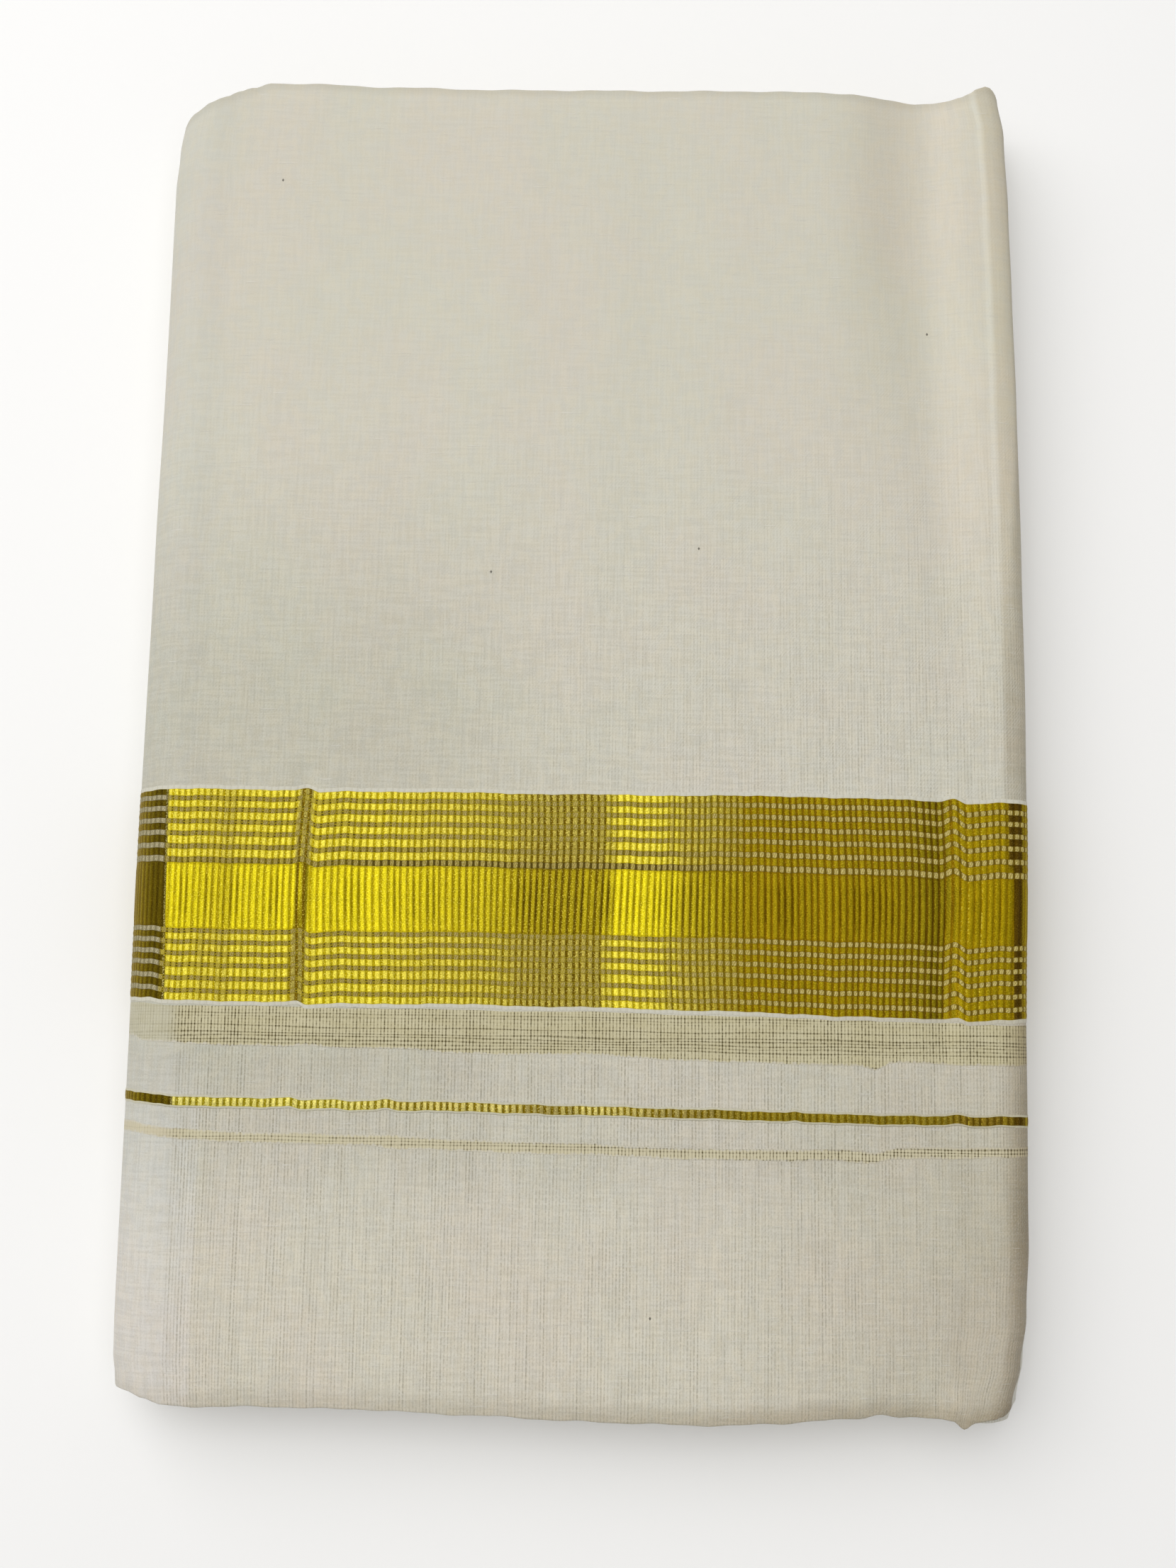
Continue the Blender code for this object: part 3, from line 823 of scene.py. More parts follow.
@dataclass(frozen=True)
class Cotton:
    """Plain bleached cotton with fine reed lines, slubs and the odd dark speck, and painted shade and light
    over its folds.
    """

    name: str
    thread: Colour = (0.641, 0.612, 0.529)
    gap: Colour = (0.30, 0.275, 0.195)
    glint: Colour = (0.73, 0.71, 0.645)
    reed: float = 0.77
    pick: float = 0.93

    def lines(self, g: Graph, run: Socket, up: Socket) -> tuple[Socket, Socket]:
        """Dark reed lines, and pale slanting dashes between them.

        Args:
            g: The material.
            run: Distance along the strip, in millimetres.
            up: Height up the front, in millimetres.

        Returns:
            The two shares.
        """
        below = g.span(up, -76.5, -80.5)
        rise = g.span(up, -18.0, 95.0, 0.46, 0.05)
        rightwards = g.span(run, -60.0, 85.0, 0.6, 1.9)
        shown = g.plus(g.times(rise, rightwards, g.minus(1.0, below)), below)
        by_line = g.times(g.span(up, -76.0, -82.0), g.span(up, -112.0, -100.0))
        spine = g.math("MAXIMUM", g.span(run, -94.2, -91.4, 0.12, 1.0),
                       g.span(run, -134.0, -144.0, 0.12, 1.0))
        shown = g.times(shown, spine, g.plus(1.0, g.times(by_line, 0.25)))

        wander = g.times(g.grain(run, up, 0.05, 0.012, 1.0), 0.8)
        place = g.plus(run, wander)
        own = g.chance(g.math("FLOOR", g.plus(g.times(place, 1 / self.reed), 0.5)))
        drift = g.grain(run, up, 0.5, 0.05, 1.0)
        dots = g.grain(run, up, 1.3, 1.9, 1.0)
        line = g.times(g.span(g.wave(place, self.reed), 0.0, 1.0), g.plus(0.6, g.times(own, 0.4)),
                       g.span(dots, 0.33, 0.6, 0.45, 1.0), g.span(drift, 0.32, 0.68, 0.6, 1.2), shown)

        slant = g.plus(g.times(place, 1 / self.reed), g.times(up, -1 / self.pick))
        patch = g.span(g.grain(run, up, 1 / 7, 1 / 5, 1.0), 0.42, 0.62, 0.15, 1.0)
        pale = g.times(g.span(up, 130.0, 0.0, 0.2, 0.55), g.span(run, -70.0, 90.0, 0.5, 1.25),
                       g.minus(1.0, g.times(below, 0.6)))
        dash = g.times(g.span(g.wave(slant, 1.0), 0.1, 1.0), patch, pale, spine)
        return line, dash

    def shade(self, g: Graph, run: Socket, up: Socket) -> Socket:
        """Slow changes of tone over the cloth: random cloudiness and blotches, with painted shade and painted
        light where the folds turn.

        Args:
            g: The material.
            run: Distance along the strip, in millimetres.
            up: Height up the front, in millimetres.

        Returns:
            The thread's colour with them.
        """
        to_upper, to_lower = g.uv("rim")
        from_top, from_foot = g.times(to_upper, 1 / MM), g.times(to_lower, 1 / MM)
        front = g.times(g.span(run, -134.0, -110.0), g.span(run, 112.0, 122.0, 1.0, 0.0))
        cloudy = g.span(g.grain(run, up, 1 / 34, 1 / 41, 2.0), 0.3, 0.7)
        colour = g.tinted(1.0, self.thread, g.mix(cloudy, (0.985, 1.0, 0.98), (1.0, 0.99, 0.98)))
        blot = g.span(g.grain(run, up, 1 / 9, 1 / 14, 3.0, 0.6), 0.3, 0.7)
        blot = g.plus(0.5, g.times(g.minus(blot, 0.5), g.span(up, 110.0, -60.0, 0.4, 0.85)))
        colour = g.tinted(1.0, colour, g.mix(blot, (0.985, 0.985, 0.985), (1.01, 1.01, 1.005)))
        for shade in SHADES:
            spans = [g.span(run, *span) for span in shade.runs] + [g.span(up, *span) for span in shade.ups]
            spans += [front] if shade.front_only else []
            colour = g.tinted(g.times(*spans, shade.share), colour, shade.tint)

        # above the border the flap's round end catches the light, further round the higher it is
        round_end = g.plus(run, g.span(up, 80.0, 35.0, 0.0, 3.0))
        lit = g.times(g.span(run, 97.2, 100.6), g.span(round_end, 107.0, 104.5), g.span(up, 0.0, 50.0))
        # foot and top are painted shade along the lower and upper rims, where the front rolls away from the
        # light
        foot = g.times(g.span(from_foot, 5.5, 0.5), g.span(run, -60.0, 60.0, 0.35, 1.0), front)
        top = g.times(g.span(from_top, 3.5, 0.5), front)
        colour = g.tinted(lit, colour, (1.29, 1.30, 1.32))
        colour = g.tinted(foot, colour, (0.77, 0.73, 0.665))
        return g.tinted(top, colour, (0.90, 0.895, 0.88))

    def material(self) -> bpy.types.Material:
        """The finish, drawn on the cloth's own map of run and height."""
        g = Graph(self.name)
        run, up = g.cloth()
        line, dash = self.lines(g, run, up)
        warp = g.grain(run, up, 1.5, 0.10, 1.0)
        weft = g.grain(run, up, 0.10, 1.5, 1.0)
        hatch = g.span(g.plus(warp, weft), 0.72, 1.28)
        slub = g.span(g.grain(run, up, 1 / 8, 2.2, 1.0), 0.73, 0.82)
        grain = g.grain(run, up, 2.4, 2.4, 2.0, 0.7)

        level = g.span(up, 110.0, -20.0, 0.34, 1.0)
        hatched = g.plus(0.5, g.times(g.minus(hatch, 0.5), level))
        warmth = g.grain(run, up, 1 / 2.4, 1 / 3.1, 1.0)

        colour = self.shade(g, run, up)
        colour = g.tinted(1.0, colour, g.mix(hatched, (0.94, 0.94, 0.93), (1.045, 1.045, 1.04)))
        cooler = g.mix(g.span(warmth, 0.3, 0.7), (0.988, 0.998, 1.016), (1.012, 1.002, 0.984))
        colour = g.tinted(1.0, colour, cooler)
        colour = g.mix(g.times(line, 0.5), colour, self.gap)
        colour = g.mix(g.times(dash, 0.32), colour, self.glint)
        colour = g.mix(g.times(g.span(grain, 0.45, 0.8, 0.0, 0.22), level), colour, self.glint)
        colour = g.mix(g.times(g.span(grain, 0.5, 0.2, 0.0, 0.22), level), colour, self.gap)
        colour = g.mix(g.times(slub, 0.35), colour, (0.77, 0.75, 0.685))
        for speck_run, speck_y in SPECKS:
            off_run = g.times(g.apart(run, speck_run), 1.5)
            off_y = g.apart(up, speck_y)
            colour = g.mix(g.span(g.plus(off_run, off_y), 0.3, 0.55, 0.8, 0.0), colour, (0.03, 0.025, 0.02))
        height = g.plus(g.times(line, -0.8), g.times(dash, 0.5), g.times(hatched, 0.3), g.times(slub, 0.5),
                        g.times(grain, level, 0.35))
        g.bump(height, 0.10 * MM, 0.8)
        g.set(Base_Color=colour, Roughness=0.86, Specular_IOR_Level=0.25, Sheen_Weight=0.12,
              Sheen_Roughness=0.5)
        return g.material


@dataclass(frozen=True)
class Tone:
    """Colours of the gold cords: on the crown of a cord, holding painted highlight, and in the groove beside
    it, holding painted shade.
    """

    crown: Colour
    groove: Colour


BRIGHT = Tone((0.728, 0.616, 0.013), (0.405, 0.310, 0.002))
LIVELY = Tone((0.564, 0.464, 0.013), (0.3, 0.218, 0.0018))
MIDDLE = Tone((0.445, 0.355, 0.0091), (0.2, 0.135, 0.0014))
OLIVE = Tone((0.355, 0.277, 0.0073), (0.141, 0.086, 0.0009))
DULL = Tone((0.284, 0.207, 0.004), (0.190, 0.107, 0.0006))
SHADED = Tone((0.227, 0.173, 0.0045), (0.118, 0.064, 0.0009))
GLOW = Tone((0.305, 0.220, 0.003), (0.275, 0.176, 0.001))
DARK = Tone((0.104, 0.071, 0.002), (0.060, 0.037, 0.001))
MELLOW = Tone((0.245, 0.178, 0.004), (0.150, 0.095, 0.001))
ROUND_END_SHADE = Tone((0.100, 0.054, 0.003), (0.070, 0.035, 0.001))
PALE = Tone((0.660, 0.580, 0.120), (0.270, 0.212, 0.006))
DIM = Tone((0.560, 0.470, 0.110), (0.190, 0.130, 0.003))
FLAT = Tone((0.230, 0.170, 0.016), (0.165, 0.106, 0.002))
FAINT = Tone((0.190, 0.125, 0.012), (0.115, 0.066, 0.003))

# painted reflection: these tables set the gold's tones along the run, brighter or darker as the light falls
# on the metal
BORDER_SHEEN = (
    (-365.0, OLIVE), (-318.0, MIDDLE), (-262.0, BRIGHT), (-222.0, OLIVE), (-180.0, LIVELY), (-122.0, LIVELY),
    (-110.0, BRIGHT), (-91.0, BRIGHT), (-88.0, LIVELY), (-79.0, BRIGHT), (-52.0, BRIGHT), (-24.0, LIVELY),
    (-8.0, OLIVE), (3.0, OLIVE), (10.5, BRIGHT), (18.0, BRIGHT), (25.0, MIDDLE), (40.0, DULL), (68.0, DULL),
    (84.0, SHADED), (86.8, DULL), (89.5, GLOW), (98.5, GLOW), (120.0, OLIVE),
)
LINE_SHEEN = (
    (-365.0, OLIVE), (-318.0, MIDDLE), (-262.0, BRIGHT), (-180.0, LIVELY), (-122.0, LIVELY), (-110.0, PALE),
    (-55.0, PALE), (-34.0, DIM), (-14.0, DIM), (-6.0, FLAT), (6.0, DIM), (26.0, FLAT), (84.5, FLAT),
    (96.0, FAINT), (120.0, OLIVE),
)


CREASE_RUN = -65.1     # the crease pressed across the border at the left
CORNER_RUN = -98.0     # where the front turns away over the spine
BORDER_MIDDLE = -44.0  # Y of the border's middle
CENTRE_ROW = 13.0      # the wide gold row between the two groups of beads


@dataclass(frozen=True)
class Zari:
    """Flat metal thread wound on cotton cords: bright on the crowns and dark between the cords, as painted
    highlight and painted shade.
    """

    name: str
    sheen: tuple[tuple[float, Tone], ...]
    spark: Colour = (0.87, 0.77, 0.13)
    crease_shade: float = 0.9
    fold_at: float = CORNER_RUN
    first_run: float = -365.0
    last_run: float = 120.0

    def along(self, g: Graph, at: OnCord, own: Socket) -> Socket:
        """Place along the sheen, ragged from cord to cord except at the spine and in the crease."""
        fold = g.span(g.apart(at.run, CORNER_RUN), 3.0, 12.0)
        crease = g.span(g.apart(at.run, CREASE_RUN), 2.5, 6.0, 0.22, 1.0)
        patch = g.minus(g.grain(at.run, at.up, 0.4, 0.06), 0.5)
        drift = g.plus(g.times(g.minus(own, 0.5), 6.0), g.times(patch, 9.0))
        leaning = g.times(g.minus(at.up, BORDER_MIDDLE), -0.042)
        at_fold = g.times(g.plus(at.up, 17.0), g.times(g.minus(1.0, fold), 0.031))
        return g.plus(at.run, g.times(drift, fold, crease), g.times(leaning, fold, crease), at_fold)

    def material(self) -> bpy.types.Material:
        """The finish: a painted reflection that drifts along the run, with painted shade in the grooves
        between the cords.
        """
        g = Graph(self.name)
        at = OnCord.read(g)
        own = g.chance(at.cord)
        place = self.along(g, at, own)
        length = self.last_run - self.first_run
        share = g.times(g.minus(place, self.first_run), 1 / length)
        stops = [((run - self.first_run) / length, tone) for run, tone in self.sheen]
        crown = g.ramp(share, [(stop, tone.crown) for stop, tone in stops])
        groove = g.ramp(share, [(stop, tone.groove) for stop, tone in stops])
        # painted shade: the gold goes dark brown where the band rounds the flap's end, starting further round
        # on the lower part of the border
        strip = g.times(g.span(at.run, 100.1, 100.7), g.span(at.run, 104.3, 103.7))
        inner = g.times(g.span(at.up, -33.0, -37.0), g.span(at.run, 101.9, 101.5))
        strip = g.times(strip, g.minus(1.0, inner))
        # painted shade in the crease pressed across the border
        crease = g.span(g.apart(place, CREASE_RUN), 0.6, 1.8, self.crease_shade, 0.0)
        # painted shade of the metal's reflection where the band turns over the spine: mellow at first, dark
        # further round
        turned = g.times(g.span(place, self.fold_at + 0.25, self.fold_at - 0.25),
                         g.span(place, -124.0, -112.0))
        inwards = g.span(place, -107.0, -99.0)
        dark_crown = g.mix(inwards, MELLOW.crown, DARK.crown)
        dark_groove = g.mix(inwards, MELLOW.groove, DARK.groove)
        for part, on_crown, in_groove in ((strip, ROUND_END_SHADE.crown, ROUND_END_SHADE.groove),
                                          (crease, SHADED.crown, SHADED.groove),
                                          (turned, dark_crown, dark_groove)):
            crown, groove = g.mix(part, crown, on_crown), g.mix(part, groove, in_groove)
        # a paler, whiter painted highlight on the crowns of the narrow rows
        narrow = g.span(g.apart(at.row, CENTRE_ROW), 0.3, 0.7)
        pale = g.times(narrow, g.span(place, 40.0, 25.0, 0.0, 0.08), g.minus(1.0, turned))
        crown = g.mix(pale, crown, (0.85, 0.80, 0.60))

        slant = g.plus(g.times(at.run, 3.0), g.times(at.up, 1.3))
        climb = g.minus(g.times(at.up, 2.6), g.times(at.run, 1.1))
        fibre = g.noise(slant, climb, 2.0, 0.7)
        streak = g.grain(at.run, at.up, 1.1, 0.35, 2.0, 0.6)
        waver = g.times(g.minus(fibre, 0.5), g.span(place, 15.0, 45.0, 0.32, 0.10))
        # painted highlight: each crown is lit a little towards the light, and less towards the ends of its
        # row
        lit = g.span(g.wave(g.plus(g.minus(at.phase, 0.40), waver), 1.0), -0.75, 0.35)
        lit = g.times(lit, g.span(at.end, 0.70, 1.0, 1.0, 0.25))
        colour = g.mix(lit, groove, crown)
        lively = g.plus(0.60, g.times(own, 0.18), g.times(g.span(streak, 0.35, 0.65), 0.16),
                        g.times(g.span(fibre, 0.3, 0.7), 0.44))
        scale = g.node("ShaderNodeVectorMath", operation="SCALE")
        g.feed(scale.inputs[0], colour)
        g.feed(scale.inputs["Scale"], lively)
        # painted glints on the fibres, more of them in the brighter part of the run and paler in the narrow
        # rows
        spark = g.times(g.span(fibre, 0.60, 0.72), g.span(place, 10.0, 45.0, 0.55, 0.10),
                        g.minus(1.0, g.times(turned, 0.9)))
        colour = g.mix(spark, scale.outputs[0], g.mix(g.times(narrow, 0.7), self.spark, (0.83, 0.77, 0.25)))
        # a broken line of painted glints just inside the dark where the gold turns over the spine
        edge = g.times(g.span(g.apart(place, self.fold_at - 0.4), 0.1, 0.35, 1.0, 0.0),
                       g.span(fibre, 0.47, 0.60))
        dots = g.grain(at.run, at.up, 1.1, 1.6, 1.0)
        dotted = g.times(g.span(at.run, 88.0, 90.0), g.span(at.run, 97.5, 95.0), g.span(at.phase, 0.22, 0.10),
                         g.span(own, 0.5, 0.65), g.span(dots, 0.52, 0.62))
        colour = g.mix(g.times(dotted, 0.48), colour, (0.73, 0.62, 0.065))
        colour = g.mix(g.times(edge, 0.6), colour, (0.70, 0.62, 0.22))
        g.bump(g.plus(g.times(fibre, 0.9), g.times(streak, 0.3)), 0.08 * MM, 0.7)
        g.set(Base_Color=colour, Metallic=0.36, Roughness=g.span(fibre, 0.3, 0.7, 0.50, 0.38),
              Specular_IOR_Level=0.12, Specular_Tint=(1.0, 0.80, 0.12))
        return g.material


@dataclass(frozen=True)
class BeadRow:
    """Cotton beads between the gold rows, with a dark hole between each two."""

    name: str
    pale: Colour = (0.582, 0.476, 0.140)
    worn: Colour = (0.385, 0.305, 0.058)
    grey: Colour = (0.445, 0.405, 0.264)
    shine: Colour = (0.654, 0.582, 0.309)
    hole: Colour = (0.041, 0.025, 0.0018)
    groove: Colour = (0.15, 0.095, 0.0018)
    gilt: Colour = (0.382, 0.291, 0.0091)

    def material(self) -> bpy.types.Material:
        """The finish, following the cords."""
        g = Graph(self.name)
        at = OnCord.read(g)
        own = g.chance(g.plus(at.cord, g.times(at.row, 17.3)))
        turned = g.times(g.span(at.run, -98.6, -97.8, 1.0, 0.0), g.span(at.run, -140.0, -126.0))
        worn = g.times(g.span(at.run, 14.0, 52.0, 1.0, 0.0), g.span(at.run, -60.0, -20.0, 1.0, 0.75))
        deep = g.times(g.span(at.row, 8.5, 12.0), g.span(at.row, CENTRE_ROW, CENTRE_ROW + 1.0, 1.0, 0.0),
                       g.span(at.run, -64.0, -40.0, 0.3, 0.8))
        grain = g.grain(at.run, at.up, 3.0, 3.0, 2.0, 0.65)
        ragged = g.minus(g.grain(at.run, at.up, 1.3, 1.1, 1.0), 0.5)
        knot = g.wave(g.plus(at.phase, g.times(at.fall, 0.17), g.times(ragged, 0.35)), 0.31)
        thread = g.mix(turned, g.mix(worn, self.pale, self.worn), self.grey)
        thread = g.mix(g.span(grain, 0.4, 0.7, 0.0, 0.4), thread, self.shine)
        thread = g.mix(g.span(grain, 0.5, 0.3, 0.0, 0.4), thread, self.groove)
        thread = g.mix(g.span(knot, 0.1, -0.9, 0.0, 0.55), thread, self.groove)
        plain = g.times(worn, g.minus(1.0, deep), g.minus(1.0, turned))
        thread = g.mix(g.times(plain, g.span(own, 0.70, 0.85), 0.45), thread, (0.545, 0.436, 0.018))
        gap = g.mix(g.times(plain, 0.8), self.groove, self.gilt)
        gap = g.mix(g.times(worn, deep), gap, self.hole)
        gap = g.mix(turned, gap, (0.24, 0.21, 0.11))
        bead = g.times(at.round(g, 0.42, 0.35, 0.35, 1.35), g.span(ragged, -0.28, -0.1, 0.6, 1.0))
        colour = g.mix(bead, gap, thread)
        aside = g.plus(g.minus(at.phase, 0.92), g.times(ragged, 0.35))
        dot = g.times(g.span(g.wave(aside, 1.0), 0.62, 0.88), g.span(at.end, 0.15, 0.4),
                      g.span(at.end, 0.98, 0.8), plain, g.span(own, 0.0, 0.6, 0.5, 1.0))
        colour = g.mix(g.times(dot, 0.85), colour, self.hole)
        gilded = g.times(plain, g.span(g.plus(at.end, g.times(ragged, 0.5)), 0.80, 0.95))
        colour = g.mix(g.times(gilded, 0.8), colour, (0.455, 0.364, 0.011))
        g.bump(g.plus(bead, g.times(knot, 0.3), g.times(grain, 0.6)), 0.10 * MM, 0.8)
        g.set(Base_Color=colour, Roughness=0.8, Specular_IOR_Level=0.15)
        return g.material


@dataclass(frozen=True)
class WhiteBeads:
    """White cotton cords along the edges of the gold."""

    name: str
    thread: Colour = (0.625, 0.607, 0.517)
    fringe: float = 0.55

    def material(self) -> bpy.types.Material:
        """The finish: each cord a little apart from the next, and yellow where it meets the gold."""
        g = Graph(self.name)
        at = OnCord.read(g)
        grain = g.grain(at.run, at.up, 2.4, 2.4, 2.0, 0.6)
        colour = g.mix(g.span(grain, 0.3, 0.7, 0.0, 0.25), self.thread, (0.59, 0.57, 0.475))
        between = g.span(g.wave(g.minus(at.phase, 0.45), 1.0), -0.5, -1.0)
        colour = g.mix(g.times(between, 0.25), colour, (0.42, 0.39, 0.28))
        inner = g.math("MAXIMUM", g.times(g.span(at.fall, 0.6, 1.0), g.span(at.row, 0.5, 0.6, 1.0, 0.0)),
                       g.times(g.span(at.fall, -0.6, -1.0), g.span(at.row, 0.4, 0.5)))
        colour = g.mix(g.times(inner, self.fringe), colour, (0.56, 0.51, 0.20))
        outer = g.math("MAXIMUM", g.times(g.span(at.fall, -0.5, -1.0), g.span(at.row, 0.5, 0.6, 1.0, 0.0)),
                       g.times(g.span(at.fall, 0.5, 1.0), g.span(at.row, 0.4, 0.5)))
        frayed = g.times(outer, g.span(g.wave(at.phase, 0.5), -0.2, 0.8, 0.15, 0.45))
        colour = g.mix(frayed, colour, (0.56, 0.53, 0.44))
        shaded = g.times(g.span(at.run, 25.0, 90.0), g.span(at.up, -20.0, -60.0))
        colour = g.tinted(shaded, colour, (0.89, 0.865, 0.82))
        g.bump(grain, 0.1 * MM, 0.8)
        g.set(Base_Color=colour, Roughness=0.85, Sheen_Weight=0.1)
        return g.material


@dataclass(frozen=True)
class Openwork:
    """Loose weave with small dark holes between the threads, where the layer below shows in painted shade."""

    name: str
    thread: Colour = (0.560, 0.507, 0.313)
    highlight: Colour = (0.650, 0.605, 0.420)
    # painted shade of the layer below, seen through the weave
    below: Colour = (0.095, 0.070, 0.017)
    cloth: Colour = (0.600, 0.570, 0.480)
    smooth: Colour = (0.86, 0.90, 1.06)
    at_left: float = 1.0
    open_top: bool = False
    across: float = 0.79
    along: float = 0.76

    def material(self) -> bpy.types.Material:
        """The finish: a net of threads with small uneven holes, ragged towards the plain cloth."""
        g = Graph(self.name)
        run, up = g.cloth()
        place = g.plus(run, g.times(g.grain(run, up, 0.05, 0.012, 1.0), 0.8))
        row = g.plus(up, g.times(g.grain(run, up, 0.03, 0.45, 1.0), 1.0))
        cells, picks = g.wave(place, self.across), g.wave(row, self.along)
        own = g.chance(g.math("FLOOR", g.plus(g.times(place, 1 / self.across), 0.5)))
        by_row = g.chance(g.math("FLOOR", g.plus(g.times(row, 1 / self.along), 0.5)))
        uneven = g.grain(run, up, 1.0, 0.9, 2.0, 0.7)
        turned = g.math("MAXIMUM", g.span(run, -96.0, -91.0, 0.22, 1.0),
                        g.span(run, -130.0, -142.0, 0.22, 1.0))
        loose = g.times(g.span(run, -60.0, 60.0, self.at_left, 1.0), turned)
        warp = g.times(g.span(cells, 0.0, 0.95), g.plus(0.4, g.times(own, 0.6)))
        weft = g.times(g.span(picks, -0.1, 0.95), g.span(by_row, 0.1, 0.9))
        hole = g.times(g.span(cells, 0.1, 0.85), g.span(picks, 0.0, 0.8), g.plus(0.5, g.times(by_row, 0.5)),
                       g.plus(0.5, g.times(own, 0.5)), g.span(uneven, 0.35, 0.58, 0.15, 1.0))
        between = g.times(g.plus(g.times(warp, 0.80), g.times(weft, 0.48)),
                          g.span(uneven, 0.3, 0.65, 0.5, 1.1))
        patch = g.grain(run, up, 1 / 9, 1 / 3, 2.0)
        colour = g.mix(g.span(patch, 0.3, 0.7), self.thread, g.mix(0.4, self.thread, self.highlight))
        pale = g.times(g.span(cells, 0.0, -0.9), g.span(picks, 0.4, -0.6), g.span(uneven, 0.35, 0.62))
        colour = g.mix(g.times(pale, 0.75), colour, self.highlight)
        # painted shade: the gaps between the threads and the holes show the shaded layer below
        colour = g.mix(g.math("MULTIPLY", between, loose, clamp=True), colour, self.below)
        colour = g.mix(g.math("MULTIPLY", hole, loose, clamp=True), colour, self.below)
        colour = g.tinted(g.minus(1.0, turned), colour, self.smooth)
        to_top, to_bottom = g.uv("rim")
        to_edge = g.times(g.math("MINIMUM", to_top, to_bottom) if self.open_top else to_bottom, 1 / MM)
        ragged = g.plus(to_edge, g.times(g.minus(g.grain(run, up, 1.2, 0.8, 2.0), 0.5), 1.2))
        # painted shade on the plain cloth at the stripe's edge, deeper towards the right
        cloth = g.tinted(g.span(run, 20.0, 85.0), self.cloth, (0.89, 0.86, 0.81))
        colour = g.mix(g.span(ragged, 0.0, 0.55, 0.85, 0.0), colour, cloth)
        # painted shade on the flap's round end
        edge = g.times(g.span(run, 97.0, 105.0), g.span(run, 112.0, 122.0, 1.0, 0.0))
        colour = g.tinted(edge, colour, (0.76, 0.71, 0.65))
        height = g.plus(g.times(hole, loose, -1.0), g.times(between, -0.5), g.times(uneven, 0.3))
        g.bump(height, 0.12 * MM, 0.9)
        g.set(Base_Color=colour, Roughness=0.88, Sheen_Weight=0.08)
        return g.material


@dataclass(frozen=True)
class Plies:
    """Cotton of the folded edges inside the bundle."""

    name: str
    thread: Colour = (0.59, 0.56, 0.466)

    def material(self) -> bpy.types.Material:
        """The finish: soft cotton, a little dusty in the grooves."""
        g = Graph(self.name)
        run, up = g.cloth()
        weave = g.grain(run, up, 1.6, 2.2, 2.0, 0.6)
        patch = g.grain(run, up, 1 / 20, 1 / 6, 2.0)
        colour = g.mix(g.span(patch, 0.3, 0.7), self.thread, (0.55, 0.52, 0.43))
        colour = g.mix(g.span(weave, 0.5, 0.75, 0.0, 0.25), colour, (0.40, 0.37, 0.28))
        g.bump(weave, 0.12 * MM, 0.7)
        g.set(Base_Color=colour, Roughness=0.9, Sheen_Weight=0.12)
        return g.material


# --- Cloth pieces --------------------------------------------------------------------------------

# One folded edge of the strip: two plies seen end on, as (beyond the edge, depth)
RIM = ((-0.50, 0.0), (-0.16, 0.09), (0.0, 0.34), (-0.14, 0.58), (-0.50, 0.70), (-0.26, 0.82), (-0.14, 1.05),
       (-0.26, 1.30), (-0.50, 1.40))


@dataclass
class OuterCloth:
    """The outermost strip, a thin shell with folded rims, a little sunk under the bands laid on it."""

    strip: Strip
    bands: Sequence[tuple[Array, Array]]
    steps: tuple[int, ...] = (4, 14, 70, 24, 150, 12, 5)
    rows: int = 190
    inner_rows: int = 30
    sunk: float = 0.24
    margin: float = 0.7

    def under_bands(self, run: Array, y: Array) -> Array:
        """How far the outer face sinks under the bands laid on it, clear of their edges."""
        sink = np.zeros(y.shape)
        for top, bottom in self.bands:
            to_edge = np.minimum(eased(top, run) - y, y - eased(bottom, run)) - self.margin
            sink = np.maximum(sink, self.sunk * smooth(to_edge / 0.8))
        return sink

    def ring(self, run: Array) -> tuple[Array, Array]:
        """Heights and depths round the strip's section, for each run.

        Args:
            run: Runs of the columns.

        Returns:
            Y and depth, columns by rows; the last row meets the first.
        """
        upper, lower = self.strip.upper(run)[:, None], self.strip.lower(run)[:, None]
        rim = np.array(RIM)
        share = np.linspace(0.0, 1.0, self.rows)[None, :]
        back = np.linspace(1.0, 0.0, self.inner_rows)[None, 1:-1]
        bottom, top = lower - rim[0, 0], upper + rim[0, 0]
        ones = np.ones_like(upper)
        heights = np.concatenate([
            bottom + (top - bottom) * share, upper + rim[None, 1:, 0], bottom + (top - bottom) * back,
            lower - rim[None, ::-1, 0],
        ], axis=1)
        depths = np.concatenate([
            0.0 * share * ones, rim[None, 1:, 1] * ones, self.strip.wall * np.ones_like(back) * ones,
            rim[None, ::-1, 1] * ones,
        ], axis=1)
        return heights, depths

    def make(self, finish: bpy.types.Material) -> bpy.types.Object:
        """Builds the strip.

        Args:
            finish: The cotton.

        Returns:
            The piece.
        """
        run = self.strip.columns(self.steps)
        y, depth = self.ring(run)
        runs = np.broadcast_to(run[:, None], y.shape)
        points = self.strip.point(runs, y, depth + self.under_bands(runs, y) * (depth < 0.01))
        rim = np.stack([self.strip.upper(runs) - y, y - self.strip.lower(runs)], -1)
        maps = {"cloth": np.stack([runs, y], -1) * MM, "rim": rim * MM}
        piece = woven_grid("cloth_outer_strip", points, maps, [finish])
        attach(piece, "root")
        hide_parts("outer_cloth")
        return piece


HEM = 0.35  # how deep the hidden rim of a band reaches into the cloth


class Lay(Enum):
    """What a row of a woven band is made of, as the number of its finish."""

    GOLD = 0
    COTTON = 1
    WHITE = 2


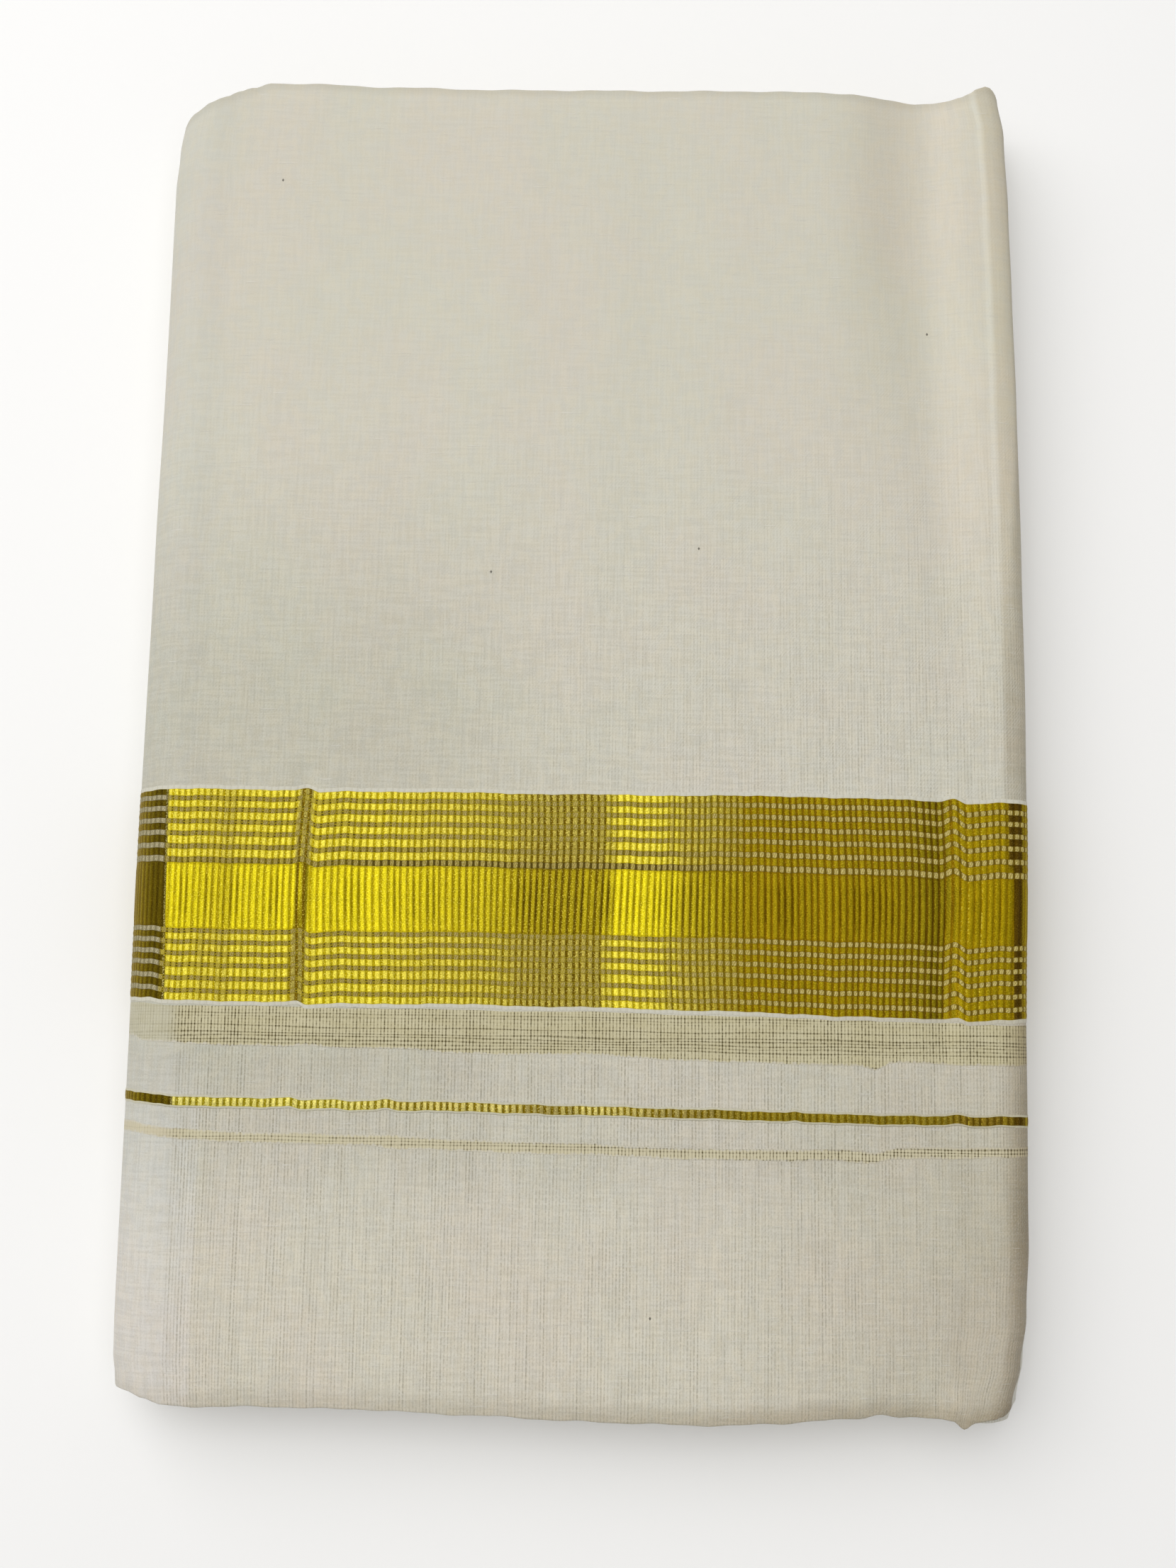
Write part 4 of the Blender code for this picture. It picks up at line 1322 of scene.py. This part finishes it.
@dataclass(frozen=True)
class Row:
    """One row of a woven band, from top to bottom in millimetres under the upper edge of its gold.

    proud is how far its middle stands up, cord how high the cords are there, steps how many faces high it is.
    """

    top: float
    bottom: float
    lay: Lay
    proud: float
    cord: float
    steps: int = 2

    def marks(self, number: int) -> list[tuple[float, float, float, float]]:
        """Lines of vertices of the row: place, height of the ground, height of the cords, lane.

        Args:
            number: Which row it is.

        Returns:
            Its upper edge and the lines inside it.
        """
        inner = np.linspace(self.top, self.bottom, self.steps + 1)[1:-1]
        sunk = 0.02 if number == 0 else 0.13
        edge = (self.top, 0.0, sunk, float(number))
        return [edge] + [(float(at), self.proud, self.cord, number + 0.5) for at in inner]


@dataclass
class WovenBand:
    """A band of gold cords with bead rows, laid on the strip.

    top and bottom hold the edges of its gold as (run, Y), bend how far its rows stray between them.
    """

    strip: Strip
    name: str
    node: str
    top: Array
    bottom: Array
    rows: Sequence[Row]
    height: float
    pitch: float = 1.54
    seed: int = 7
    bed: float = 0.05
    bend: Array = field(default_factory=lambda: np.array([
        (-140.0, 0.0), (-106.0, 0.5), (-100.0, 0.22), (-94.0, 0.0), (-68.0, 0.0), (-66.0, 0.15),
        (-62.6, -0.2), (-58.0, 0.0), (80.0, 0.0), (84.8, -0.25), (87.5, 0.3), (90.4, -0.3), (96.0, 0.0),
    ]))

    def edge(self, table: Array, run: Array) -> Array:
        """Y of an edge of the band."""
        return eased(table, run) + waves(run, (0.10, 31.0, 0.5), (0.06, 11.0, 1.9), (0.05, 5.1, 0.2))

    def cords(self) -> tuple[Array, Array, Array]:
        """Columns of vertices across the cords: number, run and height share of each."""
        chance = np.random.default_rng(self.seed)
        length = self.strip.last - self.strip.first
        count = int(length / self.pitch)
        widths = 1.0 + np.clip(chance.normal(0.0, 0.08, count), -0.2, 0.2)
        starts = self.strip.first + np.concatenate([[0.0], np.cumsum(widths)]) * length / widths.sum()
        crowns = 1.0 + np.clip(chance.normal(0.0, 0.12, count), -0.3, 0.3)
        phases = np.array([0.0, 0.2, 0.5, 0.8])
        shape = np.array([0.0, 0.78, 1.0, 0.70])
        rib = (np.arange(count)[:, None] + phases).ravel()
        run = (starts[:-1, None] + phases * np.diff(starts)[:, None]).ravel()
        cord = (shape * crowns[:, None]).ravel()
        return np.append(rib, count), np.append(run, self.strip.last), np.append(cord, 0.0)

    def make(self, finishes: Sequence[bpy.types.Material]) -> bpy.types.Object:
        """Builds the band.

        Args:
            finishes: Gold, bead rows and white edge, in the order of Lay's numbers.

        Returns:
            The piece.
        """
        marks = [mark for number, row in enumerate(self.rows) for mark in row.marks(number)]
        marks.append((self.rows[-1].bottom, 0.0, 0.02, float(len(self.rows))))
        place, rise, depth_of_cord, lane = (np.array(column) for column in zip(*marks))
        share = place / self.height
        rib, run, cord = self.cords()
        sway = 0.30 * np.sin(0.11 * rib[:, None] + 0.081 * place)
        sway += 0.20 * np.sin(0.037 * rib[:, None] - 0.124 * place)
        inside = smooth((run - self.strip.first) / 4.0) * smooth((self.strip.last - run) / 4.0)
        runs = run[:, None] + sway * inside[:, None]
        top, bottom = self.edge(self.top, runs), self.edge(self.bottom, runs)
        y = top + (bottom - top) * share
        y += eased(self.bend, runs) * smooth(place / 2.0) * smooth((self.height - place) / 2.0)
        bends = smooth((-95.0 - runs) / 6.0) * smooth((runs + 134.0) / 6.0) + smooth((runs - 100.0) / 4.0)
        proud = self.bed + (rise + depth_of_cord * cord[:, None]) * (1.0 - 0.65 * bends)
        proud = proud * (1.0 - 0.5 * self.strip.under(runs, 4.0)) * (1.0 - 0.75 * self.strip.tucked(runs))
        runs, y, proud = (
            np.concatenate([a, a[:, -1:], a[:, :1], a[:, :1]], axis=1) for a in (runs, y, proud)
        )
        proud[:, -3:-1] = -HEM
        points = self.strip.point(runs, y, -proud)
        lane = np.concatenate([lane, lane[-1:], lane[:1], lane[:1]])
        ribs = np.stack(np.broadcast_arrays(rib[:, None], lane[None, :]), -1)
        faces = [row.lay.value for row in self.rows for _ in range(row.steps)]
        faces = faces + [faces[-1], faces[-1], faces[0]]
        maps = {"cloth": np.stack([runs, y], -1) * MM, "ribs": ribs}
        piece = woven_grid(self.name, points, maps, finishes, faces)
        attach(piece, "root")
        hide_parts(self.node)
        return piece


@dataclass
class OpenStripe:
    """A stripe of loose weave, flush with the cloth."""

    strip: Strip
    name: str
    node: str
    top: Array
    bottom: Array
    steps: tuple[int, ...] = (4, 14, 60, 20, 120, 10, 5)
    rows: int = 8
    rise: float = 0.05

    def make(self, finish: bpy.types.Material) -> bpy.types.Object:
        """Builds the stripe.

        Args:
            finish: The loose weave.

        Returns:
            The piece.
        """
        run = self.strip.columns(self.steps)[:, None]
        wavy = waves(run, (0.10, 37.0, 0.9), (0.06, 13.0, 0.1))
        top, bottom = eased(self.top, run) + wavy, eased(self.bottom, run) + wavy
        share = np.linspace(0.0, 1.0, self.rows)
        y = bottom + (top - bottom) * share
        y = np.concatenate([y, y[:, -1:], y[:, :1], y[:, :1]], axis=1)
        rim = np.stack([top - y, y - bottom], -1)
        proud = np.full(y.shape, self.rise)
        proud[:, -3:-1] = -HEM
        runs = np.broadcast_to(run, y.shape)
        piece = woven_grid(self.name, self.strip.point(runs, y, -proud),
                           {"cloth": np.stack([runs, y], -1) * MM, "rim": rim * MM}, [finish])
        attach(piece, "root")
        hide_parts(self.node)
        return piece


# Folded edge of an inner strip: two plies seen end on, as (share of the half thickness, behind the edge)
FOLDED_EDGE = (
    (1.0, 14.0), (1.0, 0.62), (0.83, 0.14), (0.5, 0.0), (0.17, 0.16), (0.0, 0.5), (-0.17, 0.16), (-0.5, 0.0),
    (-0.83, 0.14), (-1.0, 0.62), (-1.0, 14.0),
)


@dataclass
class FoldedPlies:
    """The strips inside the outermost one, seen as folded edges at both ends of the bundle."""

    strip: Strip
    lower_strips: int = 12
    pitch: float = 1.4
    upper_pitch: float = 1.375
    half: float = 0.685
    inset: float = 0.5
    straight_step: float = 5.0
    arc_step: float = 12.0
    tuck_end: float = 91.5
    core_radius: float = 9.8
    core_right: float = 84.0
    core_reach: float = 146.0
    # strips that follow each other, counted from the lowest
    chains: tuple[tuple[int, ...], ...] = ((12, 5, 6, 11), (1, 16, 13, 4, 7, 10), (2, 15, 14, 3, 8, 9))

    def level(self, strip: int) -> float:
        """Z of a strip's middle."""
        if strip < self.lower_strips:
            return self.pitch * (strip + 0.5)
        first = self.strip.flap_underside + self.strip.wall / 2
        return first if strip == self.lower_strips else (
            first + self.strip.wall / 2 + self.upper_pitch * (strip - self.lower_strips - 0.5))

    def turn(self, lower: int, upper: int, right: bool) -> Array:
        """Half circle from one strip to another.

        Args:
            lower: Strip that it leaves.
            upper: Strip that it reaches.
            right: Whether it lies at the right of the bundle.

        Returns:
            Rows of X, Z, and the two parts of the normal.
        """
        start, end = self.level(lower), self.level(upper)
        middle, radius = (start + end) / 2, abs(end - start) / 2
        upward = 1.0 if end > start else -1.0
        steps = max(int(180 / self.arc_step), 6)
        angle = np.linspace(-math.pi / 2, math.pi / 2, steps + 1)[1:-1] * upward
        side = 1.0 if right else -1.0
        high = min(lower, upper) >= self.lower_strips
        x = (self.strip.flap_x if high else self.strip.lower_x) if right else self.strip.spine_x
        turned = side * upward
        return np.stack([x + side * radius * np.cos(angle), middle + radius * np.sin(angle),
                         turned * side * np.cos(angle), turned * np.sin(angle)], axis=1)

    def run_of(self, strip: int, rightwards: bool, end: float) -> Array:
        """Straight stretch of a strip.

        Args:
            strip: Which strip.
            rightwards: Whether the chain goes to the right along it.
            end: X of its right end.

        Returns:
            Rows of X, Z, and the two parts of the normal.
        """
        count = int((end - self.strip.spine_x) / self.straight_step)
        x = np.linspace(self.strip.spine_x, end, count + 1)
        z = np.full(x.shape, self.level(strip))
        if not rightwards:
            x = x[::-1]
        sign = -1.0 if rightwards else 1.0
        return np.stack([x, z, np.zeros_like(x), np.full(x.shape, sign)], axis=1)

    def chain(self, members: tuple[int, ...]) -> tuple[Array, bool]:
        """Line of one chain of strips.

        Args:
            members: The strips in order.

        Returns:
            Rows of X, Z and normal, and whether the line is closed.
        """
        closed = len(members) > 4
        parts = []
        rightwards = False
        for place, strip in enumerate(members):
            after = members[(place + 1) % len(members)]
            high = strip >= self.lower_strips
            end = self.strip.flap_x if high else self.strip.lower_x
            if not closed and strip in (members[0], members[-1]):
                end = self.tuck_end
            parts.append(self.run_of(strip, rightwards, end))
            if closed or place < len(members) - 1:
                parts.append(self.turn(strip, after, rightwards))
            rightwards = not rightwards
        line = np.concatenate(parts)
        return (np.concatenate([line, line[:1]]) if closed else line), closed

    def edge(self, x: Array, z: Array, upper: bool) -> Array:
        """Y of the folded edges at a place in the bundle's section.

        Args:
            x: X of the strip.
            z: Z of the strip.
            upper: Whether it is the upper end.

        Returns:
            Y, between that of the front leaf and that of the underside.
        """
        read = self.strip.upper if upper else self.strip.lower
        bend = np.arcsin(np.clip((self.strip.spine_x - x) / self.strip.spine_radius, 0.0, 1.0))
        straight = np.maximum(x, self.strip.spine_x)
        front = read(straight - self.strip.spine_radius * bend)
        under = read(self.strip.back_start - (straight - self.strip.spine_x) + self.strip.spine_radius * bend)
        share = z / self.strip.thickness
        return front * share + under * (1.0 - share)

    def settle(self, x: Array, y: Array, z: Array) -> Array:
        """Moves points of the straight bundle to where the flap, the lower fold and the front take them.

        Args:
            x: X before.
            y: Y.
            z: Z before.

        Returns:
            Places in metres.
        """
        s = self.strip
        high = z > s.flap_underside - 0.2
        right = np.where(high, s.flap_x, s.lower_x)
        shift = np.where(high, s.flap_start(y), s.lower_start(y)) - right
        squeeze = np.where(high, (s.lifted_radius(y) - s.wall) / (s.flap_radius - s.wall) - 1.0, 0.0)
        moved = x + smooth((x - s.steady_x) / (right - s.steady_x)) * shift
        moved += np.maximum(x - right, 0.0) * squeeze
        share = np.clip((z - s.flap_underside) / (s.thickness - s.wall - s.flap_underside), 0.0, 1.0)
        height = s.front_height(np.minimum(moved, s.flap_start(y)), y) - s.shoulder(moved)
        return np.stack([moved + s.stand_in(moved, y), y, z + share * height], axis=-1) * MM

    def make(self, finish: bpy.types.Material) -> bpy.types.Object:
        """Builds the core and both ends' folded edges as one piece.

        Args:
            finish: The cotton of the inner plies.

        Returns:
            The piece.
        """
        chance = np.random.default_rng(11)
        profile = np.array(FOLDED_EDGE)
        made = [self.core(finish)]
        for index, members in enumerate(self.chains):
            line, closed = self.chain(members)
            x, z, normal_x, normal_z = (line[:, k, None] for k in range(4))
            length = np.concatenate([[0.0], np.cumsum(np.hypot(np.diff(line[:, 0]), np.diff(line[:, 1])))])
            for upper in (False, True):
                away = 1.0 if upper else -1.0
                uneven = [waves(length, (0.34, 150.0 + 31 * k, chance.uniform(0, TAU)),
                                (0.22, 47.0 + 7 * k, chance.uniform(0, TAU)),
                                (0.10, 13.0, chance.uniform(0, TAU))) for k in range(2)]
                if closed:
                    near = smooth(np.minimum(length, length[-1] - length) / 30.0)
                    uneven = [wave * near for wave in uneven]
                third = self.strip.thickness / 3
                between = np.minimum(np.abs(z - third), np.abs(z - self.strip.thickness * 2 / 3))
                start = 1.7 if upper else 0.2
                inset = self.inset + 0.9 * bell(between, 1.1) + 0.35 * np.sin(z / self.pitch * 2.4 + start)
                first = profile[:, 0] >= 0
                reach = inset + profile[:, 1] + np.where(first, uneven[0][:, None], uneven[1][:, None])
                ring_x = x + normal_x * profile[:, 0] * self.half
                ring_z = z + normal_z * profile[:, 0] * self.half
                y = self.edge(x, z, upper) - away * reach
                points = self.settle(ring_x, y, ring_z)
                points = np.concatenate([points, points[:, :1]], axis=1)
                across = np.arange(points.shape[1]) * 0.8
                flat = np.stack(np.broadcast_arrays(length[:, None], across), -1) * MM
                made.append(woven_grid(f"plies_{index}_{'upper' if upper else 'lower'}", points,
                                       {"cloth": flat}, [finish], sharp=80.0))
        deselect()
        for part in made:
            part.select_set(True)
        bpy.context.view_layer.objects.active = made[0]
        bpy.ops.object.join()
        piece = bpy.context.active_object
        piece.name = piece.data.name = "cloth_inner_plies"
        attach(piece, "root")
        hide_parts("inner_folds")
        return piece

    def core(self, finish: bpy.types.Material) -> bpy.types.Object:
        """Rounded block that fills the middle of the bundle.

        Args:
            finish: The cotton of the inner plies.

        Returns:
            The piece.
        """
        deselect()
        bpy.ops.mesh.primitive_cylinder_add(
            vertices=40, radius=self.core_radius * MM, depth=2 * self.core_reach * MM,
            location=(self.strip.spine_x * MM, 0.0, self.strip.spine_radius * MM),
            rotation=(math.pi / 2, 0.0, 0.0))
        piece = bpy.context.active_object
        bpy.ops.object.transform_apply(location=True, rotation=True, scale=True)
        bpy.ops.object.mode_set(mode="EDIT")
        bpy.ops.mesh.select_all(action="DESELECT")
        bpy.ops.object.mode_set(mode="OBJECT")
        for vertex in piece.data.vertices:
            vertex.select = vertex.co.x > self.strip.spine_x * MM + 1e-6
        bpy.ops.object.mode_set(mode="EDIT")
        longer = self.core_right - self.strip.spine_x - self.core_radius
        bpy.ops.transform.translate(value=(longer * MM, 0.0, 0.0))
        bpy.ops.mesh.select_all(action="DESELECT")
        bpy.ops.object.mode_set(mode="OBJECT")
        mesh = piece.data
        for layer in list(mesh.uv_layers):
            mesh.uv_layers.remove(layer)
        places = np.empty(len(mesh.vertices) * 3, dtype=np.float32)
        mesh.vertices.foreach_get("co", places)
        set_uv(mesh, "cloth", places.reshape(-1, 3)[:, :2])
        mesh.materials.append(finish)
        bpy.ops.object.shade_smooth_by_angle(angle=math.radians(40.0))
        return piece


# --- Tables of the woven bands -------------------------------------------------------------------

ZARI_TOP = np.array([
    (-362.0, -18.9), (-95.0, -18.9), (-84.0, -18.9), (-68.0, -18.8), (-64.6, -18.3), (-61.2, -19.4),
    (-55.0, -19.1), (-38.0, -18.85), (-16.0, -18.95), (8.0, -18.95), (50.0, -18.7), (66.0, -19.05),
    (76.0, -19.1), (84.2, -19.3), (87.7, -18.8), (91.2, -19.95), (100.0, -19.6), (124.0, -19.1),
])
ZARI_BOTTOM = np.array([
    (-362.0, -68.4), (-150.0, -68.4), (-120.0, -67.5), (-107.0, -67.55), (-101.0, -67.75), (-96.4, -68.4),
    (-84.0, -68.65), (-69.0, -68.45), (-65.6, -68.25), (-63.0, -69.1), (-52.0, -68.75), (-32.0, -68.55),
    (0.0, -68.8), (14.0, -69.0), (32.0, -69.3), (50.0, -69.6), (62.0, -70.15), (76.0, -70.3),
    (85.6, -70.25), (88.2, -70.1), (91.0, -70.9), (100.0, -70.5), (106.0, -69.9), (124.0, -69.8),
])
LINE_TOP = np.array([
    (-362.0, -90.7), (-150.0, -90.7), (-118.0, -89.3), (-106.0, -89.35), (-103.0, -89.6), (-100.0, -89.9),
    (-97.0, -90.15), (-94.0, -90.45), (-91.0, -90.75), (-72.0, -90.6), (-66.5, -90.4), (-63.5, -91.0),
    (-57.0, -90.85), (-52.0, -91.15), (-46.5, -90.85), (-43.4, -90.45), (-40.5, -90.95), (-36.0, -90.95),
    (-16.0, -91.25), (-9.0, -91.2), (-3.0, -91.55), (10.0, -91.6), (24.0, -91.8), (44.0, -92.25),
    (47.6, -92.2), (50.2, -91.85), (52.6, -92.35), (58.0, -92.4), (68.0, -92.75), (78.0, -92.6),
    (84.0, -92.5), (88.0, -92.25), (92.5, -92.8), (100.0, -92.6), (124.0, -92.2),
])
OPEN_WIDE = (
    np.array([
        (-362.0, -69.7), (-150.0, -69.7), (-118.0, -68.95), (-106.0, -69.0), (-96.0, -69.65),
        (0.0, -69.95), (50.0, -70.65), (88.0, -71.25), (100.0, -71.6), (124.0, -71.4),
    ]),
    np.array([
        (-362.0, -78.6), (-150.0, -78.6), (-118.0, -76.5), (-105.4, -76.65), (-104.0, -77.3),
        (-101.6, -78.05), (-93.7, -78.05), (-89.9, -78.5), (-79.4, -78.8), (-67.9, -78.95),
        (-63.0, -78.6), (-52.3, -79.05), (-42.9, -78.95), (-26.9, -79.95), (1.0, -79.85), (25.6, -80.7),
        (33.0, -81.0), (50.2, -81.3), (64.9, -81.3), (68.8, -82.4), (73.2, -80.6), (89.7, -80.95),
        (100.7, -80.9), (124.0, -80.6),
    ]),
)
OPEN_NARROW = (
    np.array([
        (-362.0, -98.2), (-150.0, -98.2), (-118.0, -96.0), (-105.3, -96.1), (-99.2, -97.05),
        (-94.3, -97.5), (-81.8, -98.0), (-75.3, -98.6), (-62.2, -98.35), (-47.6, -98.6), (-42.3, -98.4),
        (-38.6, -98.85), (-30.4, -99.35), (-3.6, -99.7), (15.9, -100.45), (42.8, -100.75),
        (62.3, -100.25), (64.8, -100.35), (68.0, -101.2), (74.6, -99.95), (87.8, -99.7), (98.3, -99.4),
        (124.0, -98.9),
    ]),
    np.array([
        (-362.0, -100.8), (-150.0, -100.8), (-118.0, -98.5), (-105.0, -98.6), (-103.2, -98.95),
        (-99.1, -99.25), (-96.8, -99.65), (-88.9, -100.25), (-75.2, -100.95), (-47.5, -101.0),
        (-40.9, -101.85), (11.1, -102.7), (30.6, -103.2), (46.8, -103.35), (59.9, -102.9), (68.0, -103.6),
        (72.9, -102.5), (84.4, -102.35), (91.2, -102.1), (98.2, -101.75), (124.0, -101.2),
    ]),
)
LINE_HEIGHT = 1.95
LINE_BOTTOM = LINE_TOP - np.array([0.0, LINE_HEIGHT])
BEAD_ROWS = (2.25, 5.0, 7.95, 10.85, 14.0, 17.25, 34.35, 37.0, 39.75, 42.45, 45.6, 48.6)
BORDER_HEIGHT = 50.85


def border_rows() -> list[Row]:
    """Rows of the border from its upper edge down."""
    edge = 0.95
    halves = (0.62, 0.62, 0.62, 0.63, 0.66, 0.75, 0.60, 0.60, 0.60, 0.60, 0.60, 0.60)
    rows = [Row(-edge, 0.0, Lay.WHITE, 0.06, 0.12)]
    last = 0.0
    for place, half in zip(BEAD_ROWS, halves):
        rows.append(Row(last, place - half, Lay.GOLD, 0.06, 0.29, 7 if place - last > 4.0 else 2))
        rows.append(Row(place - half, place + half, Lay.COTTON, 0.04, 0.25))
        last = place + half
    rows.append(Row(last, BORDER_HEIGHT, Lay.GOLD, 0.06, 0.29))
    rows.append(Row(BORDER_HEIGHT, BORDER_HEIGHT + edge, Lay.WHITE, 0.06, 0.12))
    return rows


def line_rows() -> list[Row]:
    """Rows of the gold line with its white edges, from its upper edge down."""
    return [Row(-0.5, 0.0, Lay.WHITE, 0.05, 0.12), Row(0.0, LINE_HEIGHT, Lay.GOLD, 0.05, 0.24, 3),
            Row(LINE_HEIGHT, LINE_HEIGHT + 0.5, Lay.WHITE, 0.05, 0.12)]


# --- Room ----------------------------------------------------------------------------------------

@dataclass(frozen=True)
class Studio:
    """Camera, pale floor and soft lights."""

    camera_place: tuple[float, float, float] = (1.66, -83.8, 456.0)
    camera_right: tuple[float, float, float] = (0.9999, 0.0141, 0.0022)
    camera_up: tuple[float, float, float] = (-0.01427, 0.98786, 0.1547)
    camera_back: tuple[float, float, float] = (0.0, -0.15471, 0.98797)
    lens: float = 42.31

    def camera(self) -> None:
        """Places the camera."""
        data = bpy.data.cameras.new("camera")
        data.lens = self.lens
        data.sensor_width = 36.0
        data.clip_start = 0.01
        camera = bpy.data.objects.new("camera", data)
        bpy.context.scene.collection.objects.link(camera)
        turn = Matrix((self.camera_right, self.camera_up, self.camera_back)).transposed()
        camera.matrix_world = Matrix.Translation([c * MM for c in self.camera_place]) @ turn.to_4x4()
        bpy.context.scene.camera = camera

    def floor(self) -> None:
        """Lays the floor."""
        deselect()
        bpy.ops.mesh.primitive_plane_add(size=6.0, location=(0.0, 0.0, -0.0002))
        plane = bpy.context.active_object
        plane.name = "floor"
        g = Graph("floor_paper")
        g.set(Base_Color=(0.965, 0.965, 0.96), Roughness=0.95, Specular_IOR_Level=0.1)
        plane.data.materials.append(g.material)

    def light(self, name: str, place: tuple[float, float, float], size: float, power: float,
              tone: Colour) -> None:
        """Adds a soft light aimed at the bundle.

        Args:
            name: Name of the light.
            place: Where it hangs, in metres.
            size: Side of its square, in metres.
            power: Watts.
            tone: Its colour.
        """
        data = bpy.data.lights.new(name, "AREA")
        data.shape = "SQUARE"
        data.size = size
        data.energy = power
        data.color = tone
        lamp = bpy.data.objects.new(name, data)
        bpy.context.scene.collection.objects.link(lamp)
        lamp.location = place
        lamp.rotation_mode = "QUATERNION"
        lamp.rotation_quaternion = Vector(place).to_track_quat("Z", "Y")

    def world(self, tone: Colour, strength: float) -> None:
        """Gives the room its soft all-round light.

        Args:
            tone: Colour of the room.
            strength: Its brightness.
        """
        room = bpy.data.worlds.new("room")
        room.use_nodes = True
        back = room.node_tree.nodes["Background"]
        back.inputs["Color"].default_value = (*tone, 1.0)
        back.inputs["Strength"].default_value = strength
        bpy.context.scene.world = room

    def make(self) -> None:
        """Builds the room."""
        self.camera()
        self.floor()
        self.world((1.0, 0.99, 0.975), 0.363)
        self.light("key", (-0.70, 0.56, 1.28), 1.7, 15.2, (1.0, 0.995, 0.99))
        self.light("top", (0.1, 0.0, 1.9), 1.6, 9.9, (1.0, 0.995, 0.985))
        bpy.context.scene.view_settings.view_transform = "Standard"


# --- The whole dhoti -----------------------------------------------------------------------------

def report(piece: bpy.types.Object) -> None:
    """Logs a finished piece and its triangles."""
    piece.data.calc_loop_triangles()
    LOG.info("%s: %d triangles", piece.name, len(piece.data.loop_triangles))


def main() -> None:
    """Builds the dhoti and its room."""
    logging.basicConfig(level=logging.INFO, format="%(message)s")
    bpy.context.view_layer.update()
    strip = Strip()
    beads = BeadRow("bead_rows").material()
    line_gold = Zari("zari_line", LINE_SHEEN, spark=(0.85, 0.79, 0.33), crease_shade=0.0, fold_at=-95.2)
    line_white = WhiteBeads("line_beads", thread=(0.56, 0.535, 0.41), fringe=0.8)
    golds = (Zari("zari_border", BORDER_SHEEN).material(), line_gold.material())
    whites = (WhiteBeads("white_beads").material(), line_white.material())
    covered = ((ZARI_TOP, ZARI_BOTTOM), (LINE_TOP, LINE_BOTTOM), OPEN_WIDE, OPEN_NARROW)
    outer = OuterCloth(strip, covered).make(Cotton("cotton").material())
    report(outer)
    bands = [
        WovenBand(strip, "border_gold_cords", "zari_border", ZARI_TOP, ZARI_BOTTOM, border_rows(),
                  BORDER_HEIGHT),
        WovenBand(strip, "border_gold_line", "zari_line", LINE_TOP, LINE_BOTTOM, line_rows(),
                  LINE_HEIGHT, seed=23),
    ]
    made = [band.make([gold, beads, white]) for band, gold, white in zip(bands, golds, whites)]
    wide = OpenStripe(strip, "openwork_wide", "openwork_stripe_wide", *OPEN_WIDE)
    made.append(wide.make(Openwork("openwork_wide").material()))
    narrow = OpenStripe(strip, "openwork_narrow", "openwork_stripe_narrow", *OPEN_NARROW)
    narrow_weave = Openwork("openwork_narrow", thread=(0.600, 0.545, 0.375), smooth=(0.95, 0.94, 0.98),
                            at_left=0.5, open_top=True)
    made.append(narrow.make(narrow_weave.material()))
    for piece in made:
        report(piece)
    report(FoldedPlies(strip).make(Plies("cotton_folds").material()))
    Studio().make()


if __name__ == "__main__":
    main()
